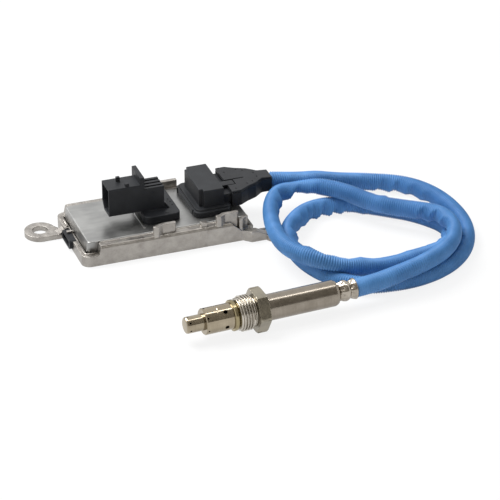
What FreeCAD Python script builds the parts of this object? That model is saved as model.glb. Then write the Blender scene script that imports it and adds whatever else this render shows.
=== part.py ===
import FreeCAD, Part
import math
import os
import re
import Sketcher
from FreeCAD import Placement, Rotation, Vector

# Nitrogen oxide sensor: a control unit in a die-cast case, a plug, a blue sleeved cable
# and an exhaust probe. Millimetres, +Z up, origin at the middle of the case's flat underside.
# +X runs along the case towards the sensor plug, and the probe lies in front, towards -Y.

doc = FreeCAD.newDocument("nitrogen_oxide_sensor")
sizes = doc.addObject("Spreadsheet::Sheet", "sizes")

SIZES = {
    # Case
    "case_length": 103.0,
    "places_length": 103.0,
    "case_width": 56.0,
    "case_corner": 5.0,
    "bury": 0.5,
    "overrun": 1.0,
    "floor_thickness": 2.6,
    "ledge_height": 6.4,
    "rail_height": 12.0,
    "rail_width": 5.0,
    "rail_chamfer": 1.3,
    "front_rail_start": 10.6,
    "front_rail_end": 14.4,
    "ramp_run": 1.2,
    "end_ramp_run": 6.1,
    "seat_height": 5.0,
    "seat_width": 2.4,
    # Cast lugs on the rails
    "lug_wall": 2.4,
    "lug_inset": 0.5,
    "lug_sway": 1.8,
    "lug_slant": 0.96,
    "lug_round": 1.0,
    "lug_first_bend": 2.8,
    "lug_second_bend": 5.88,
    "lug_rise": 5.9,
    "lug_length": 14.0,
    "left_lug_start": 42.0,
    "right_lug_start": 79.5,
    "end_lug_start": 93.3,
    "end_lug_length": 6.0,
    "end_lug_first_bend": 2.1,
    "end_lug_second_bend": 4.2,
    "end_lug_round": 0.72,
    "end_lug_rise": 7.6,
    "back_lug_start": 62.6,
    "back_lug_length": 10.4,
    "back_lug_inset": 1.0,
    "back_lug_rise": 5.0,
    "key_block_start": 71.0,
    "key_block_length": 3.6,
    "key_block_width": 3.0,
    "key_block_rise": 2.5,
    # Mounting ears
    "ear_thickness": 3.0,
    "ear_hole_radius": 4.5,
    "left_ear_radius": 9.0,
    "left_ear_reach": 12.3,
    "left_ear_back": 9.8,
    "left_neck_back": 12.6,
    "left_neck_reach": 11.5,
    "left_neck_flare": 0.6,
    "eye_meet_out": 6.75,
    "eye_meet_back": 5.4,
    "neck_step": 0.1,
    "right_ear_radius": 7.2,
    "right_ear_reach": 12.3,
    "right_ear_front": 1.9,
    "right_neck_back": 5.0,
    "right_neck_front": 3.8,
    "right_neck_root": 7.5,
    "right_neck_turn": 3.5,
    "right_eye_meet": 3.0,
    "ear_root_height": 5.2,
    "ear_root_run": 4.0,
    "web_run": 7.0,
    # Lid
    "lid_height": 12.9,
    "lid_wall": 1.8,
    "lid_gap": 0.3,
    "lid_left_margin": 3.1,
    "lid_right_margin": 1.7,
    "lid_draft": 1.1,
    "lid_inner_draft": 0.9,
    "lid_corner": 1.8,
    "lid_edge": 0.6,
    "sealant_thickness": 0.4,
    "ridge_width": 0.9,
    "ridge_rise": 0.7,
    "ridge_length": 18.0,
    "ridge_gap": 0.9,
    "ridge_front": 11.0,
    "header_window_length": 15.0,
    "header_window_width": 13.0,
    "sensor_window_length": 8.0,
    "sensor_window_width": 26.0,
    # Circuit board
    "board_end_gap": 3.7,
    "board_side_gap": 1.1,
    "board_thickness": 1.6,
    "post_height": 1.8,
    "post_radius": 2.8,
    "board_screw_inset": 3.4,
    "screw_radius": 1.2,
    "screw_head_radius": 2.3,
    "screw_head_height": 1.5,
    "screw_depth": 3.2,
    "screw_end_gap": 0.2,
    "thread_gap": 0.02,
    "board_hole_gap": 0.25,
    # Parts on the board
    "chip_side": 12.0,
    "chip_height": 1.3,
    "chip_x": 24.0,
    "power_chip_side": 7.0,
    "power_chip_height": 2.3,
    "power_chip_pitch": 11.0,
    "power_chip_x": 66.0,
    "capacitor_radius": 3.1,
    "capacitor_height": 4.4,
    "capacitor_pitch": 8.5,
    "middle_capacitor_x": 37.0,
    "capacitor_edge": 5.9,
    "end_capacitor_x": 12.0,
    "pad_length": 30.0,
    "pad_width": 14.0,
    # Vehicle header, the socket with an open mouth
    "vehicle_base_start": 41.0,
    "vehicle_base_length": 21.8,
    "vehicle_base_width": 33.0,
    "vehicle_base_centre": 2.0,
    "vehicle_base_height": 4.7,
    "vehicle_base_corner": 3.6,
    "socket_start": 22.0,
    "socket_length": 18.8,
    "socket_width": 13.6,
    "socket_centre": -0.4,
    "socket_bottom": 18.1,
    "socket_top": 35.2,
    "socket_wall": 1.2,
    "socket_depth": 16.5,
    "socket_key": 4.0,
    "socket_key_rise": 4.8,
    "key_wall_shift": 0.5,
    "collar_thickness": 2.6,
    "collar_top": 39.8,
    "collar_extra": 2.6,
    "tower_length": 11.6,
    "tower_top": 32.4,
    "groove_pitch": 3.5,
    "groove_width": 1.3,
    "groove_depth": 2.6,
    "groove_shift": -0.7,
    "groove_land": 0.8,
    "tower_foot": 3.5,
    "peg_length": 2.3,
    "peg_width": 1.8,
    "peg_rise": 3.0,
    "low_peg_rise": 1.6,
    "back_peg_x": 30.2,
    "front_peg_x": 33.4,
    "back_peg_inset": 4.4,
    "front_peg_inset": 2.0,
    "plastic_edge": 0.5,
    "tier_edge": 0.4,
    "boss_length": 11.0,
    "boss_width": 11.0,
    "gasket_width": 1.6,
    "gasket_thickness": 1.2,
    "gasket_inset": 2.2,
    # Vehicle pins
    "vehicle_pin_pitch": 2.5,
    "vehicle_pin_side": 0.8,
    "vehicle_pin_height": 26.6,
    "vehicle_pin_recess": 5.0,
    "vehicle_pin_setback": 5.5,
    "pin_tail": 0.8,
    "pin_hole_gap": 0.2,
    # Sensor header, the one the plug sits on
    "sensor_base_start": 70.3,
    "sensor_base_length": 22.6,
    "sensor_base_width": 38.0,
    "sensor_base_centre": 1.6,
    "sensor_base_height": 3.4,
    "sensor_tier_height": 1.2,
    "sensor_tier_inset": 1.3,
    "sensor_tier_back": 0.4,
    "sensor_base_corner": 4.5,
    "base_notch_width": 1.4,
    "base_notch_depth": 0.7,
    "sensor_block_start": 76.5,
    "sensor_block_length": 12.2,
    "sensor_block_width": 32.0,
    "sensor_block_top": 28.5,
    "sensor_step": 2.0,
    "sensor_step_inset": 2.8,
    "neck_reach": 11.2,
    "neck_width": 26.0,
    "neck_bottom": 16.6,
    "neck_top": 22.6,
    "neck_wall": 1.0,
    "neck_root": 1.0,
    "sensor_boss_length": 6.0,
    "sensor_boss_width": 24.0,
    # Sensor pins
    "sensor_pin_count": 8.0,
    "sensor_pin_pitch": 2.7,
    "sensor_pin_side": 0.64,
    "sensor_pin_reach": 9.0,
    "sensor_pin_setback": 6.0,
    # Plug on the cable
    "plug_start": 94.0,
    "plug_end": 122.2,
    "plug_bottom": 14.9,
    "plug_top": 24.9,
    "plug_end_drop": 0.8,
    "slope_lead": 2.0,
    "plug_half_width": 15.2,
    "plug_shoulder": 99.5,
    "plug_waist": 104.8,
    "plug_waist_half": 11.9,
    "plug_step": 110.6,
    "plug_step_half": 9.3,
    "plug_tail": 115.8,
    "plug_tail_half": 5.0,
    "plug_wall": 1.6,
    "plug_gap": 0.2,
    "core_setback": 0.4,
    "terminal_grip": 3.4,
    "terminal_end_room": 0.3,
    "terminal_tail": 4.0,
    "terminal_wall": 0.55,
    "pin_slide": 0.05,
    "pin_room_gap": 0.25,
    "room_overlap": 0.01,
    "wide_room_end": 2.4,
    "plug_seal_thickness": 1.2,
    "plug_corner": 2.4,
    "cover_thickness": 1.4,
    "dimple_radius": 0.6,
    "dimple_depth": 0.5,
    "latch_length": 9.6,
    "latch_width": 5.0,
    "latch_thickness": 1.3,
    "latch_offset": -4.0,
    "latch_gap": 0.45,
    "latch_setback": 0.3,
    "slot_overlap": 0.05,
    "slot_length": 12.0,
    "grommet_length": 7.0,
    "rear_grommet_length": 9.5,
    "rear_grommet_gap": 0.3,
    "grommet_radius": 3.6,
    "wire_radius": 0.45,
    "wire_pitch": 0.95,
    "lead_room_play": 0.4,
    # Vent in the left end wall
    "vent_ear_gap": 0.1,
    "vent_length": 16.6,
    "vent_bottom": 0.9,
    "vent_height": 5.8,
    "vent_proud": 2.0,
    "vent_depth": 2.3,
    "vent_wall": 1.1,
    "vent_gap": 0.1,
    "vent_round": 2.44,
    "recess_inset": 2.1,
    "air_hole_radius": 0.7,
    "vent_back": 0.9,
    "membrane_thickness": 0.3,
    "tab_offset": 9.6,
    "tab_width": 1.5,
    "tab_height": 1.2,
    "tab_reach": 0.6,
    # Probe, measured along its axis from the tip
    "probe_tip_x": -23.8,
    "probe_tip_y": -123.8,
    "probe_yaw": 3.5,
    "nut_across_flats": 22.0,
    "inner_shield_radius": 4.65,
    "inner_shield_wall": 0.5,
    "shield_round": 1.0,
    "tip_hole_at": 2.1,
    "outer_shield_start": 10.4,
    "outer_shield_radius": 7.4,
    "outer_shield_wall": 0.6,
    "shield_slide": 0.05,
    "outer_shield_edge": 0.4,
    "outer_shield_lip": 0.6,
    "shield_fold": 0.5,
    "front_hole_at": 1.2,
    "side_hole_at": 22.1,
    "seam_at": 17.9,
    "seam_depth": 0.12,
    "seam_half": 0.5,
    "flange_start": 26.7,
    "flange_end": 29.7,
    "flange_rise": 1.7,
    "flange_edge": 0.4,
    "flange_slope": 1.2,
    "flange_step": 1.0,
    "thread_rise": 2.9,
    "thread_lead": 1.0,
    "thread_runout": 0.9,
    "thread_end": 38.4,
    "undercut_rise": 1.3,
    "hex_start": 39.8,
    "hex_end": 46.2,
    "hex_corner": 0.5,
    "hex_face_rise": 0.9,
    "hex_chamfer_run": 0.5,
    "hex_clear": 0.3,
    "nut_gap": 0.3,
    "nut_play": 0.06,
    "shell_radius": 7.0,
    "shell_step": 0.9,
    "shell_end": 54.0,
    "sleeve_seat": 2.0,
    "collar_end": 48.0,
    "collar_rise": 1.3,
    "collar_edge": 0.4,
    "sleeve_lap": 0.4,
    "sleeve_wall": 0.6,
    "sleeve_end": 89.7,
    "sleeve_round": 2.0,
    "neck_radius": 4.9,
    "ferrule_lip": 1.6,
    "ferrule_wall": 0.8,
    "crimp_radius": 6.0,
    "crimp_valley": 4.7,
    "crimp_round": 0.3,
    "crimp_run": 1.1,
    "first_crimp": 94.6,
    "probe_length": 100.6,
    "element_width": 4.2,
    "element_thickness": 1.3,
    "slot_play": 0.04,
    "element_start": 4.0,
    "element_end": 66.0,
    "ceramic_radius": 5.6,
    "ceramic_start": 31.7,
    "talc_start": 36.7,
    "rear_ceramic_start": 42.7,
    "holder_radius": 5.9,
    "holder_tail": 2.0,
    "bedding_gap": 2.0,
    "lead_circle": 3.4,
    "small_hole_radius": 0.55,
    "large_hole_radius": 1.2,
    # Cable
    "cable_radius": 4.0,
    "cable_exit_height": 19.4,
}

for row, (name, number) in enumerate(SIZES.items(), start=1):
    sizes.set(f"A{row}", name)
    sizes.set(f"B{row}", str(number))
    sizes.setAlias(f"B{row}", name)
doc.recompute()


def linked(text):
    """The expression with each size name pointing at its cell."""
    return re.sub(r"[a-z_]+",
                  lambda word: "sizes." + word.group() if word.group() in SIZES else word.group(), text)


def value(text):
    """The number that an expression of size names gives."""
    return float(sizes.evalExpression(text))


def bind(thing, path, text):
    thing.setExpression(path, linked(text))


def block(name, x_span, y_span, z_span):
    """Box between two expressions along each axis."""
    thing = doc.addObject("Part::Box", name)
    spans = {"x": ("Length", x_span), "y": ("Width", y_span), "z": ("Height", z_span)}
    for axis, (side, (low, high)) in spans.items():
        bind(thing, side, f"({high}) - ({low})")
        bind(thing, f"Placement.Base.{axis}", low)
    return thing


def cylinder(name, radius, length, foot, turn=None):
    """Round bar from a foot point, along +Z or along the direction that the turn gives."""
    thing = doc.addObject("Part::Cylinder", name)
    bind(thing, "Radius", radius)
    bind(thing, "Height", length)
    if turn is not None:
        thing.Placement = Placement(Vector(), turn)
    for axis, text in zip("xyz", foot):
        bind(thing, f"Placement.Base.{axis}", text)
    return thing


def join(name, parts):
    thing = doc.addObject("Part::MultiFuse", name)
    thing.Shapes = parts
    thing.Refine = True
    return thing


def cut(name, base, tool):
    thing = doc.addObject("Part::Cut", name)
    thing.Base = base
    thing.Tool = tool
    thing.Refine = True
    return thing


def group(name, parts):
    """Separate solids that make one node."""
    thing = doc.addObject("Part::Compound", name)
    thing.Links = parts
    return thing


def new_body(name):
    return doc.addObject("PartDesign::Body", name)


def outline(body, name, plane, corners, lift="0"):
    """Closed sketch on one of the body's own planes, every corner bound to the sheet."""
    sketch = body.newObject("Sketcher::SketchObject", name)
    support = next(item for item in body.Origin.OriginFeatures if item.Role == plane)
    sketch.AttachmentSupport = [(support, "")]
    sketch.MapMode = "FlatFace"
    bind(sketch, "AttachmentOffset.Base.z", lift)
    points = [Vector(value(across), value(up), 0) for across, up in corners]
    count = len(points)
    for index in range(count):
        sketch.addGeometry(Part.LineSegment(points[index], points[(index + 1) % count]))
    for index in range(count):
        sketch.addConstraint(Sketcher.Constraint("Coincident", index, 2, (index + 1) % count, 1))
    for index, (across, up) in enumerate(corners):
        for kind, text in (("DistanceX", across), ("DistanceY", up)):
            number = sketch.addConstraint(Sketcher.Constraint(kind, -1, 1, index, 1, value(text)))
            bind(sketch, f"Constraints[{number}]", text)
    return sketch


def rectangle(x_span, y_span):
    return [(x_span[0], y_span[0]), (x_span[1], y_span[0]), (x_span[1], y_span[1]), (x_span[0], y_span[1])]


def circle(body, name, plane, radius, centre, lift="0"):
    """Circle sketch on one of the body's own planes."""
    sketch = body.newObject("Sketcher::SketchObject", name)
    support = next(item for item in body.Origin.OriginFeatures if item.Role == plane)
    sketch.AttachmentSupport = [(support, "")]
    sketch.MapMode = "FlatFace"
    bind(sketch, "AttachmentOffset.Base.z", lift)
    middle = Vector(value(centre[0]), value(centre[1]), 0)
    sketch.addGeometry(Part.Circle(middle, Vector(0, 0, 1), value(radius)))
    for kind, text in (("DistanceX", centre[0]), ("DistanceY", centre[1])):
        number = sketch.addConstraint(Sketcher.Constraint(kind, -1, 1, 0, 3, value(text)))
        bind(sketch, f"Constraints[{number}]", text)
    number = sketch.addConstraint(Sketcher.Constraint("Radius", 0, value(radius)))
    bind(sketch, f"Constraints[{number}]", radius)
    return sketch


def settle(feature):
    """Recompute, and stop at once if this feature failed."""
    doc.recompute()
    if "Invalid" in feature.State or feature.Shape.isNull() or not feature.Shape.isValid():
        raise RuntimeError(f"{feature.Name} did not build")
    return feature


def pad(body, name, sketch, length, backwards=False):
    feature = body.newObject("PartDesign::Pad", name)
    feature.Profile = sketch
    feature.Reversed = backwards
    bind(feature, "Length", length)
    return settle(feature)


def pocket(body, name, sketch, length, backwards=False):
    before = body.Shape.Volume
    feature = body.newObject("PartDesign::Pocket", name)
    feature.Profile = sketch
    feature.Reversed = backwards
    bind(feature, "Length", length)
    settle(feature)
    if feature.Shape.Volume > before - 0.01:
        raise RuntimeError(f"{name} cuts nothing")
    return feature


def revolve(body, name, corners, plane="XZ_Plane"):
    """Turned solid about the body's X axis, from (along, radius) corners."""
    feature = body.newObject("PartDesign::Revolution", name)
    sketch = outline(body, f"{name}_profile", plane, corners)
    feature.Profile = sketch
    feature.ReferenceAxis = (sketch, ["H_Axis"])
    feature.Angle = 360
    return settle(feature)


def groove(body, name, corners):
    """Turned cut about the body's X axis."""
    before = body.Shape.Volume
    feature = body.newObject("PartDesign::Groove", name)
    sketch = outline(body, f"{name}_profile", "XZ_Plane", corners)
    feature.Profile = sketch
    feature.ReferenceAxis = (sketch, ["H_Axis"])
    feature.Angle = 360
    settle(feature)
    if feature.Shape.Volume > before - 0.01:
        raise RuntimeError(f"{name} cuts nothing")
    return feature


def dress(body, kind, name, size_name, wanted):
    """Fillet or chamfer on the edges of the body's last feature that pass the test."""
    base = body.Tip
    names = [f"Edge{number}" for number, edge in enumerate(base.Shape.Edges, start=1) if wanted(edge)]
    feature = body.newObject(f"PartDesign::{kind}", name)
    feature.Base = (base, names)
    bind(feature, "Radius" if kind == "Fillet" else "Size", size_name)
    if not names:
        raise RuntimeError(f"{name} finds no edge")
    return settle(feature)


def near(first, second):
    return abs(first - second) < 0.01


def upright(edge):
    box = edge.BoundBox
    return box.XLength < 0.01 and box.YLength < 0.01 and box.ZLength > 0.3


def level_at(edge, height):
    box = edge.BoundBox
    return near(box.ZMin, height) and near(box.ZMax, height)


# The case's ends, sides and the places measured from its left end
LEFT = "-case_length / 2"
RIGHT = "case_length / 2"
FRONT = "-case_width / 2"
BACK = "case_width / 2"


def from_left(text):
    return f"({LEFT} + {text})"


def carried(text, datum):
    """A place from the left end that keeps its distance from a datum, which moves with the case's length."""
    return f"({LEFT} + {datum} * case_length / places_length + {text} - {datum})"


def on_vehicle_header(text):
    return carried(text, "vehicle_base_start")


def on_sensor_header(text):
    return carried(text, "sensor_base_start")


# Case: one aluminium die casting with two side rails, a seat for the lid and two ears
case = new_body("case_casting")
pad(case, "case_block", outline(case, "case_plan", "XY_Plane", rectangle((LEFT, RIGHT), (FRONT, BACK))),
    "ledge_height")
dress(case, "Fillet", "case_corners", "case_corner", upright)

front_rail = [
    (from_left("front_rail_start - ramp_run"), "ledge_height - bury"),
    (f"{RIGHT} - front_rail_end + end_ramp_run", "ledge_height - bury"),
    (f"{RIGHT} - front_rail_end + end_ramp_run", "ledge_height"),
    (f"{RIGHT} - front_rail_end", "rail_height"),
    (from_left("front_rail_start"), "rail_height"),
    (from_left("front_rail_start - ramp_run"), "ledge_height"),
]
rail_sketch = outline(case, "front_rail_side", "XZ_Plane", front_rail, "case_width / 2")
pad(case, "front_rail", rail_sketch, "rail_width", backwards=True)
back_rail = [
    (from_left("case_corner"), "ledge_height - bury"),
    (f"{RIGHT} - case_corner", "ledge_height - bury"),
    (f"{RIGHT} - case_corner", "ledge_height"),
    (f"{RIGHT} - case_corner - end_ramp_run", "rail_height"),
    (from_left("case_corner + ramp_run"), "rail_height"),
    (from_left("case_corner"), "ledge_height"),
]
rail_sketch = outline(case, "back_rail_side", "XZ_Plane", back_rail, "-case_width / 2")
pad(case, "back_rail", rail_sketch, "rail_width")


def outer_rail_edge(edge):
    at_side = near(abs(edge.BoundBox.YMin), value(BACK)) and near(edge.BoundBox.YMin, edge.BoundBox.YMax)
    return level_at(edge, value("rail_height")) and at_side


dress(case, "Chamfer", "rail_slopes", "rail_chamfer", outer_rail_edge)

inside_x = (from_left("lid_left_margin"), f"{RIGHT} - lid_right_margin")
inside_y = (f"{FRONT} + rail_width", f"{BACK} - rail_width")
seat_plan = outline(case, "seat_plan", "XY_Plane", rectangle(inside_x, inside_y), "seat_height")
pocket(case, "lid_seat", seat_plan, "rail_height - seat_height", backwards=True)
well_x = (f"{inside_x[0]} + seat_width", f"{inside_x[1]} - seat_width")
well_y = (f"{inside_y[0]} + seat_width", f"{inside_y[1]} - seat_width")
well_plan = outline(case, "well_plan", "XY_Plane", rectangle(well_x, well_y), "floor_thickness")
pocket(case, "board_well", well_plan, "seat_height - floor_thickness", backwards=True)


def s_wall(name, start, length, bends, rise, foot, corner):
    """Thin cast lug in a shallow S, running along the rail and standing on it."""
    bend, middle = bends
    forward = f"{FRONT} + lug_inset"
    back = f"{FRONT} + lug_inset + lug_sway"
    corners = [
        (carried(start, start), forward),
        (carried(f"{start} + {bend}", start), forward),
        (carried(f"{start} + {middle}", start), back),
        (carried(f"{start} + {length}", start), back),
        (carried(f"{start} + {length}", start), f"{back} + lug_wall"),
        (carried(f"{start} + {middle} - lug_slant", start), f"{back} + lug_wall"),
        (carried(f"{start} + {bend} - lug_slant", start), f"{forward} + lug_wall"),
        (carried(start, start), f"{forward} + lug_wall"),
    ]
    lug = new_body(f"{name}_body")
    sketch = outline(lug, f"{name}_plan", "XY_Plane", corners, foot)
    pad(lug, name, sketch, rise)
    dress(lug, "Fillet", f"{name}_bends", corner, upright)
    return lug


long_bends = ("lug_first_bend", "lug_second_bend")
long_rise = "rail_height + lug_rise - ledge_height"
cast_lugs = [
    s_wall("left_lug", "left_lug_start", "lug_length", long_bends, long_rise, "ledge_height", "lug_round"),
    s_wall("right_lug", "right_lug_start", "lug_length", long_bends, long_rise, "ledge_height", "lug_round"),
    s_wall("end_lug", "end_lug_start", "end_lug_length", ("end_lug_first_bend", "end_lug_second_bend"),
           "end_lug_rise + bury", "ledge_height - bury", "end_lug_round"),
]

back_lug_plan = rectangle(
    (carried("back_lug_start", "back_lug_start"),
     carried("back_lug_start + back_lug_length", "back_lug_start")),
    (f"{BACK} - back_lug_inset - lug_wall", f"{BACK} - back_lug_inset"),
)
pad(case, "back_lug", outline(case, "back_lug_outline", "XY_Plane", back_lug_plan, "ledge_height"),
    "rail_height + back_lug_rise - ledge_height")
key_plan = rectangle(
    (carried("key_block_start", "key_block_start"),
     carried("key_block_start + key_block_length", "key_block_start")),
    (f"{FRONT} + rail_width - key_block_width", f"{FRONT} + rail_width"),
)
pad(case, "key_block", outline(case, "key_block_outline", "XY_Plane", key_plan, "ledge_height"),
    "rail_height + key_block_rise - ledge_height")

# Left ear: a round eye near the back corner with a straight front edge
left_hole = (f"({LEFT} - left_ear_reach)", f"({BACK} - left_ear_back)")
left_neck = [
    (f"{LEFT} - left_neck_reach", f"{BACK} - left_ear_back - left_ear_radius + neck_step"),
    (from_left("overrun"), f"{BACK} - left_ear_back - left_ear_radius + neck_step"),
    (from_left("overrun"), f"{BACK} - left_neck_back"),
    (f"{LEFT} - left_neck_flare", f"{BACK} - left_neck_back"),
    (f"{LEFT} - left_ear_reach + eye_meet_out", f"{BACK} - left_ear_back + eye_meet_back"),
    (f"{LEFT} - left_neck_reach", f"{BACK} - left_ear_back"),
]
pad(case, "left_neck", outline(case, "left_neck_plan", "XY_Plane", left_neck), "ear_thickness")
pad(case, "left_eye", circle(case, "left_eye_plan", "XY_Plane", "left_ear_radius", left_hole),
    "ear_thickness")
left_root = [
    (from_left("bury"), "bury"),
    (from_left("bury"), "ear_root_height"),
    (f"{LEFT}", "ear_root_height"),
    (f"{LEFT} - ear_root_run", "ear_thickness"),
    (f"{LEFT} - ear_root_run", "bury"),
]
root_sketch = outline(case, "left_root_side", "XZ_Plane", left_root,
                      "-(case_width / 2 - left_ear_back - left_ear_radius + neck_step)")
pad(case, "left_root", root_sketch, "left_ear_back + left_ear_radius - left_neck_back - 2 * neck_step",
    backwards=True)
pocket(case, "left_hole",
       circle(case, "left_hole_plan", "XY_Plane", "ear_hole_radius", left_hole, "ear_thickness"),
       "ear_thickness")

# Right ear: an arm that leaves the front corner, with a sloping web along its front
right_hole = (f"({RIGHT} + right_ear_reach)", f"({FRONT} - right_ear_front)")
pad(case, "right_eye", circle(case, "right_eye_plan", "XY_Plane", "right_ear_radius", right_hole),
    "ear_thickness")
right_neck = [
    (f"{RIGHT} - right_neck_root", f"{FRONT} + bury"),
    (f"{RIGHT} - right_neck_root", FRONT),
    (f"{RIGHT} - right_neck_turn", f"{FRONT} - right_neck_front"),
    (f"{RIGHT} + right_ear_reach - right_eye_meet", f"{FRONT} - right_neck_front"),
    (f"{RIGHT} + right_ear_reach", f"{FRONT} - right_ear_front"),
    (f"{RIGHT} + right_ear_reach", f"{FRONT} + right_neck_back"),
    (f"{RIGHT} - bury", f"{FRONT} + right_neck_back"),
    (f"{RIGHT} - bury", f"{FRONT} + bury"),
]
pad(case, "right_neck", outline(case, "right_neck_plan", "XY_Plane", right_neck), "ear_thickness")
right_web = [
    (f"{RIGHT} - right_neck_turn", "bury"),
    (f"{RIGHT} + web_run", "bury"),
    (f"{RIGHT} + web_run", "ear_thickness"),
    (f"{RIGHT}", "ledge_height"),
    (f"{RIGHT} - right_neck_turn", "ledge_height"),
]
web_sketch = outline(case, "right_web_side", "XZ_Plane", right_web, "case_width / 2 + right_neck_front")
pad(case, "right_web", web_sketch, "right_neck_front + overrun", backwards=True)
web_flare = [
    (f"{RIGHT} - right_neck_root", f"{FRONT} + bury"),
    (f"{RIGHT} - right_neck_root", FRONT),
    (f"{RIGHT} - right_neck_turn", f"{FRONT} - right_neck_front"),
    (f"{RIGHT} - right_neck_turn", f"{FRONT} + bury"),
]
pad(case, "web_flare", outline(case, "web_flare_plan", "XY_Plane", web_flare), "ledge_height")
pocket(case, "right_hole",
       circle(case, "right_hole_plan", "XY_Plane", "ear_hole_radius", right_hole, "ear_thickness"),
       "ear_thickness")

# Window in the left end wall for the vent, and the cast tab that holds the vent down
vent_back = f"({BACK} - left_ear_back - left_ear_radius + neck_step - vent_ear_gap)"
vent_y = (f"({vent_back} - vent_length)", vent_back)
vent_notch = outline(case, "vent_notch_plan", "XY_Plane",
                     rectangle((f"{LEFT} - overrun", from_left("vent_depth")), vent_y), "vent_bottom")
pocket(case, "vent_notch", vent_notch, "ledge_height - vent_bottom", backwards=True)

# Posts for the board
board_x = (f"({well_x[0]} + board_end_gap)", f"({well_x[1]} - board_end_gap)")
board_y = (f"({well_y[0]} + board_side_gap)", f"({well_y[1]} - board_side_gap)")
screw_places = [
    (f"{board_x[end]} + board_screw_inset * {sign_x}", f"{board_y[side]} + board_screw_inset * {sign_y}")
    for end, sign_x in ((0, 1), (1, -1))
    for side, sign_y in ((0, 1), (1, -1))
]
for number, place in enumerate(screw_places, start=1):
    post = circle(case, f"post_{number}_plan", "XY_Plane", "post_radius", place, "floor_thickness - bury")
    pad(case, f"post_{number}", post, "post_height + bury")
for number, place in enumerate(screw_places, start=1):
    hole = circle(case, f"post_hole_{number}_plan", "XY_Plane", "screw_radius + thread_gap", place,
                  "floor_thickness + post_height")
    pocket(case, f"post_hole_{number}", hole, "screw_depth")

# Lid: a shallow aluminium pan between the rails, with windows under the two headers
lid = new_body("housing_lid")
lid_foot = "seat_height + sealant_thickness"
lid_x = (f"{inside_x[0]} + lid_gap", f"{inside_x[1]} - lid_gap")
lid_y = (f"{inside_y[0]} + lid_gap", f"{inside_y[1]} - lid_gap")
lid_side = [
    (lid_x[0], lid_foot),
    (lid_x[1], lid_foot),
    (f"{lid_x[1]} - lid_draft", "lid_height"),
    (f"{lid_x[0]} + lid_draft", "lid_height"),
]
lid_sketch = outline(lid, "lid_side", "XZ_Plane", lid_side, "case_width / 2 - rail_width - lid_gap")
pad(lid, "lid_block", lid_sketch, "case_width - 2 * rail_width - 2 * lid_gap", backwards=True)


def lid_corner_edge(edge):
    box = edge.BoundBox
    return box.YLength < 0.01 and box.ZLength > 2


dress(lid, "Fillet", "lid_corners", "lid_corner", lid_corner_edge)
dress(lid, "Fillet", "lid_top_edge", "lid_edge", lambda edge: level_at(edge, value("lid_height")))
lid_hollow = [
    (f"{lid_x[0]} + lid_wall", f"{lid_foot} - overrun"),
    (f"{lid_x[1]} - lid_wall", f"{lid_foot} - overrun"),
    (f"{lid_x[1]} - lid_wall - lid_inner_draft", "lid_height - lid_wall"),
    (f"{lid_x[0]} + lid_wall + lid_inner_draft", "lid_height - lid_wall"),
]
hollow_sketch = outline(lid, "lid_hollow_side", "XZ_Plane", lid_hollow,
                        "case_width / 2 - rail_width - lid_gap - lid_wall")
pocket(lid, "lid_hollow", hollow_sketch, "case_width - 2 * rail_width - 2 * lid_gap - 2 * lid_wall")
ridge_plan = rectangle(
    (on_vehicle_header("vehicle_base_start - ridge_gap - ridge_width"),
     on_vehicle_header("vehicle_base_start - ridge_gap")),
    (f"{FRONT} + ridge_front", f"{FRONT} + ridge_front + ridge_length"),
)
pad(lid, "lid_ridge", outline(lid, "lid_ridge_plan", "XY_Plane", ridge_plan, "lid_height - bury"),
    "ridge_rise + bury")

vehicle_mid_x = on_vehicle_header("vehicle_base_start + vehicle_base_length / 2")
vehicle_mid_y = "vehicle_base_centre"
sensor_foot_x = on_sensor_header("sensor_block_start + sensor_pin_setback")
sensor_mid_y = "sensor_base_centre"


def centred(middle, width):
    return (f"{middle} - ({width}) / 2", f"{middle} + ({width}) / 2")


vehicle_window = rectangle(centred(vehicle_mid_x, "header_window_length"),
                           centred("socket_centre", "header_window_width"))
pocket(lid, "vehicle_window",
       outline(lid, "vehicle_window_plan", "XY_Plane", vehicle_window, "lid_height + overrun"),
       "lid_wall + 2 * overrun")
sensor_window = rectangle(centred(sensor_foot_x, "sensor_window_length"),
                          centred(sensor_mid_y, "sensor_window_width"))
pocket(lid, "sensor_window",
       outline(lid, "sensor_window_plan", "XY_Plane", sensor_window, "lid_height + overrun"),
       "lid_wall + 2 * overrun")

# Sealant: a flat bead on the seat, under the lid's rim
sealant_outside = block("sealant_outside", lid_x, lid_y, ("seat_height", lid_foot))
sealant_inside = block(
    "sealant_inside",
    (f"{lid_x[0]} + lid_wall", f"{lid_x[1]} - lid_wall"),
    (f"{lid_y[0]} + lid_wall", f"{lid_y[1]} - lid_wall"),
    ("seat_height - overrun", f"{lid_foot} + overrun"),
)
sealant = cut("lid_seal", sealant_outside, sealant_inside)

# Pins of both headers, bent down from the socket to the board
board_bottom = "floor_thickness + post_height"
board_top = "floor_thickness + post_height + board_thickness"
vehicle_pin_count = 4
vehicle_pin_places = [
    f"socket_centre + vehicle_pin_pitch * {number - (vehicle_pin_count - 1) / 2}"
    for number in range(vehicle_pin_count)
]
sensor_pin_count = int(value("sensor_pin_count"))
sensor_pin_places = [
    f"sensor_base_centre + sensor_pin_pitch * {number - (sensor_pin_count - 1) / 2}"
    for number in range(sensor_pin_count)
]
neck_middle = "(neck_bottom + neck_top) / 2"
vehicle_foot_x = on_vehicle_header("vehicle_base_start + vehicle_pin_setback")


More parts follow.
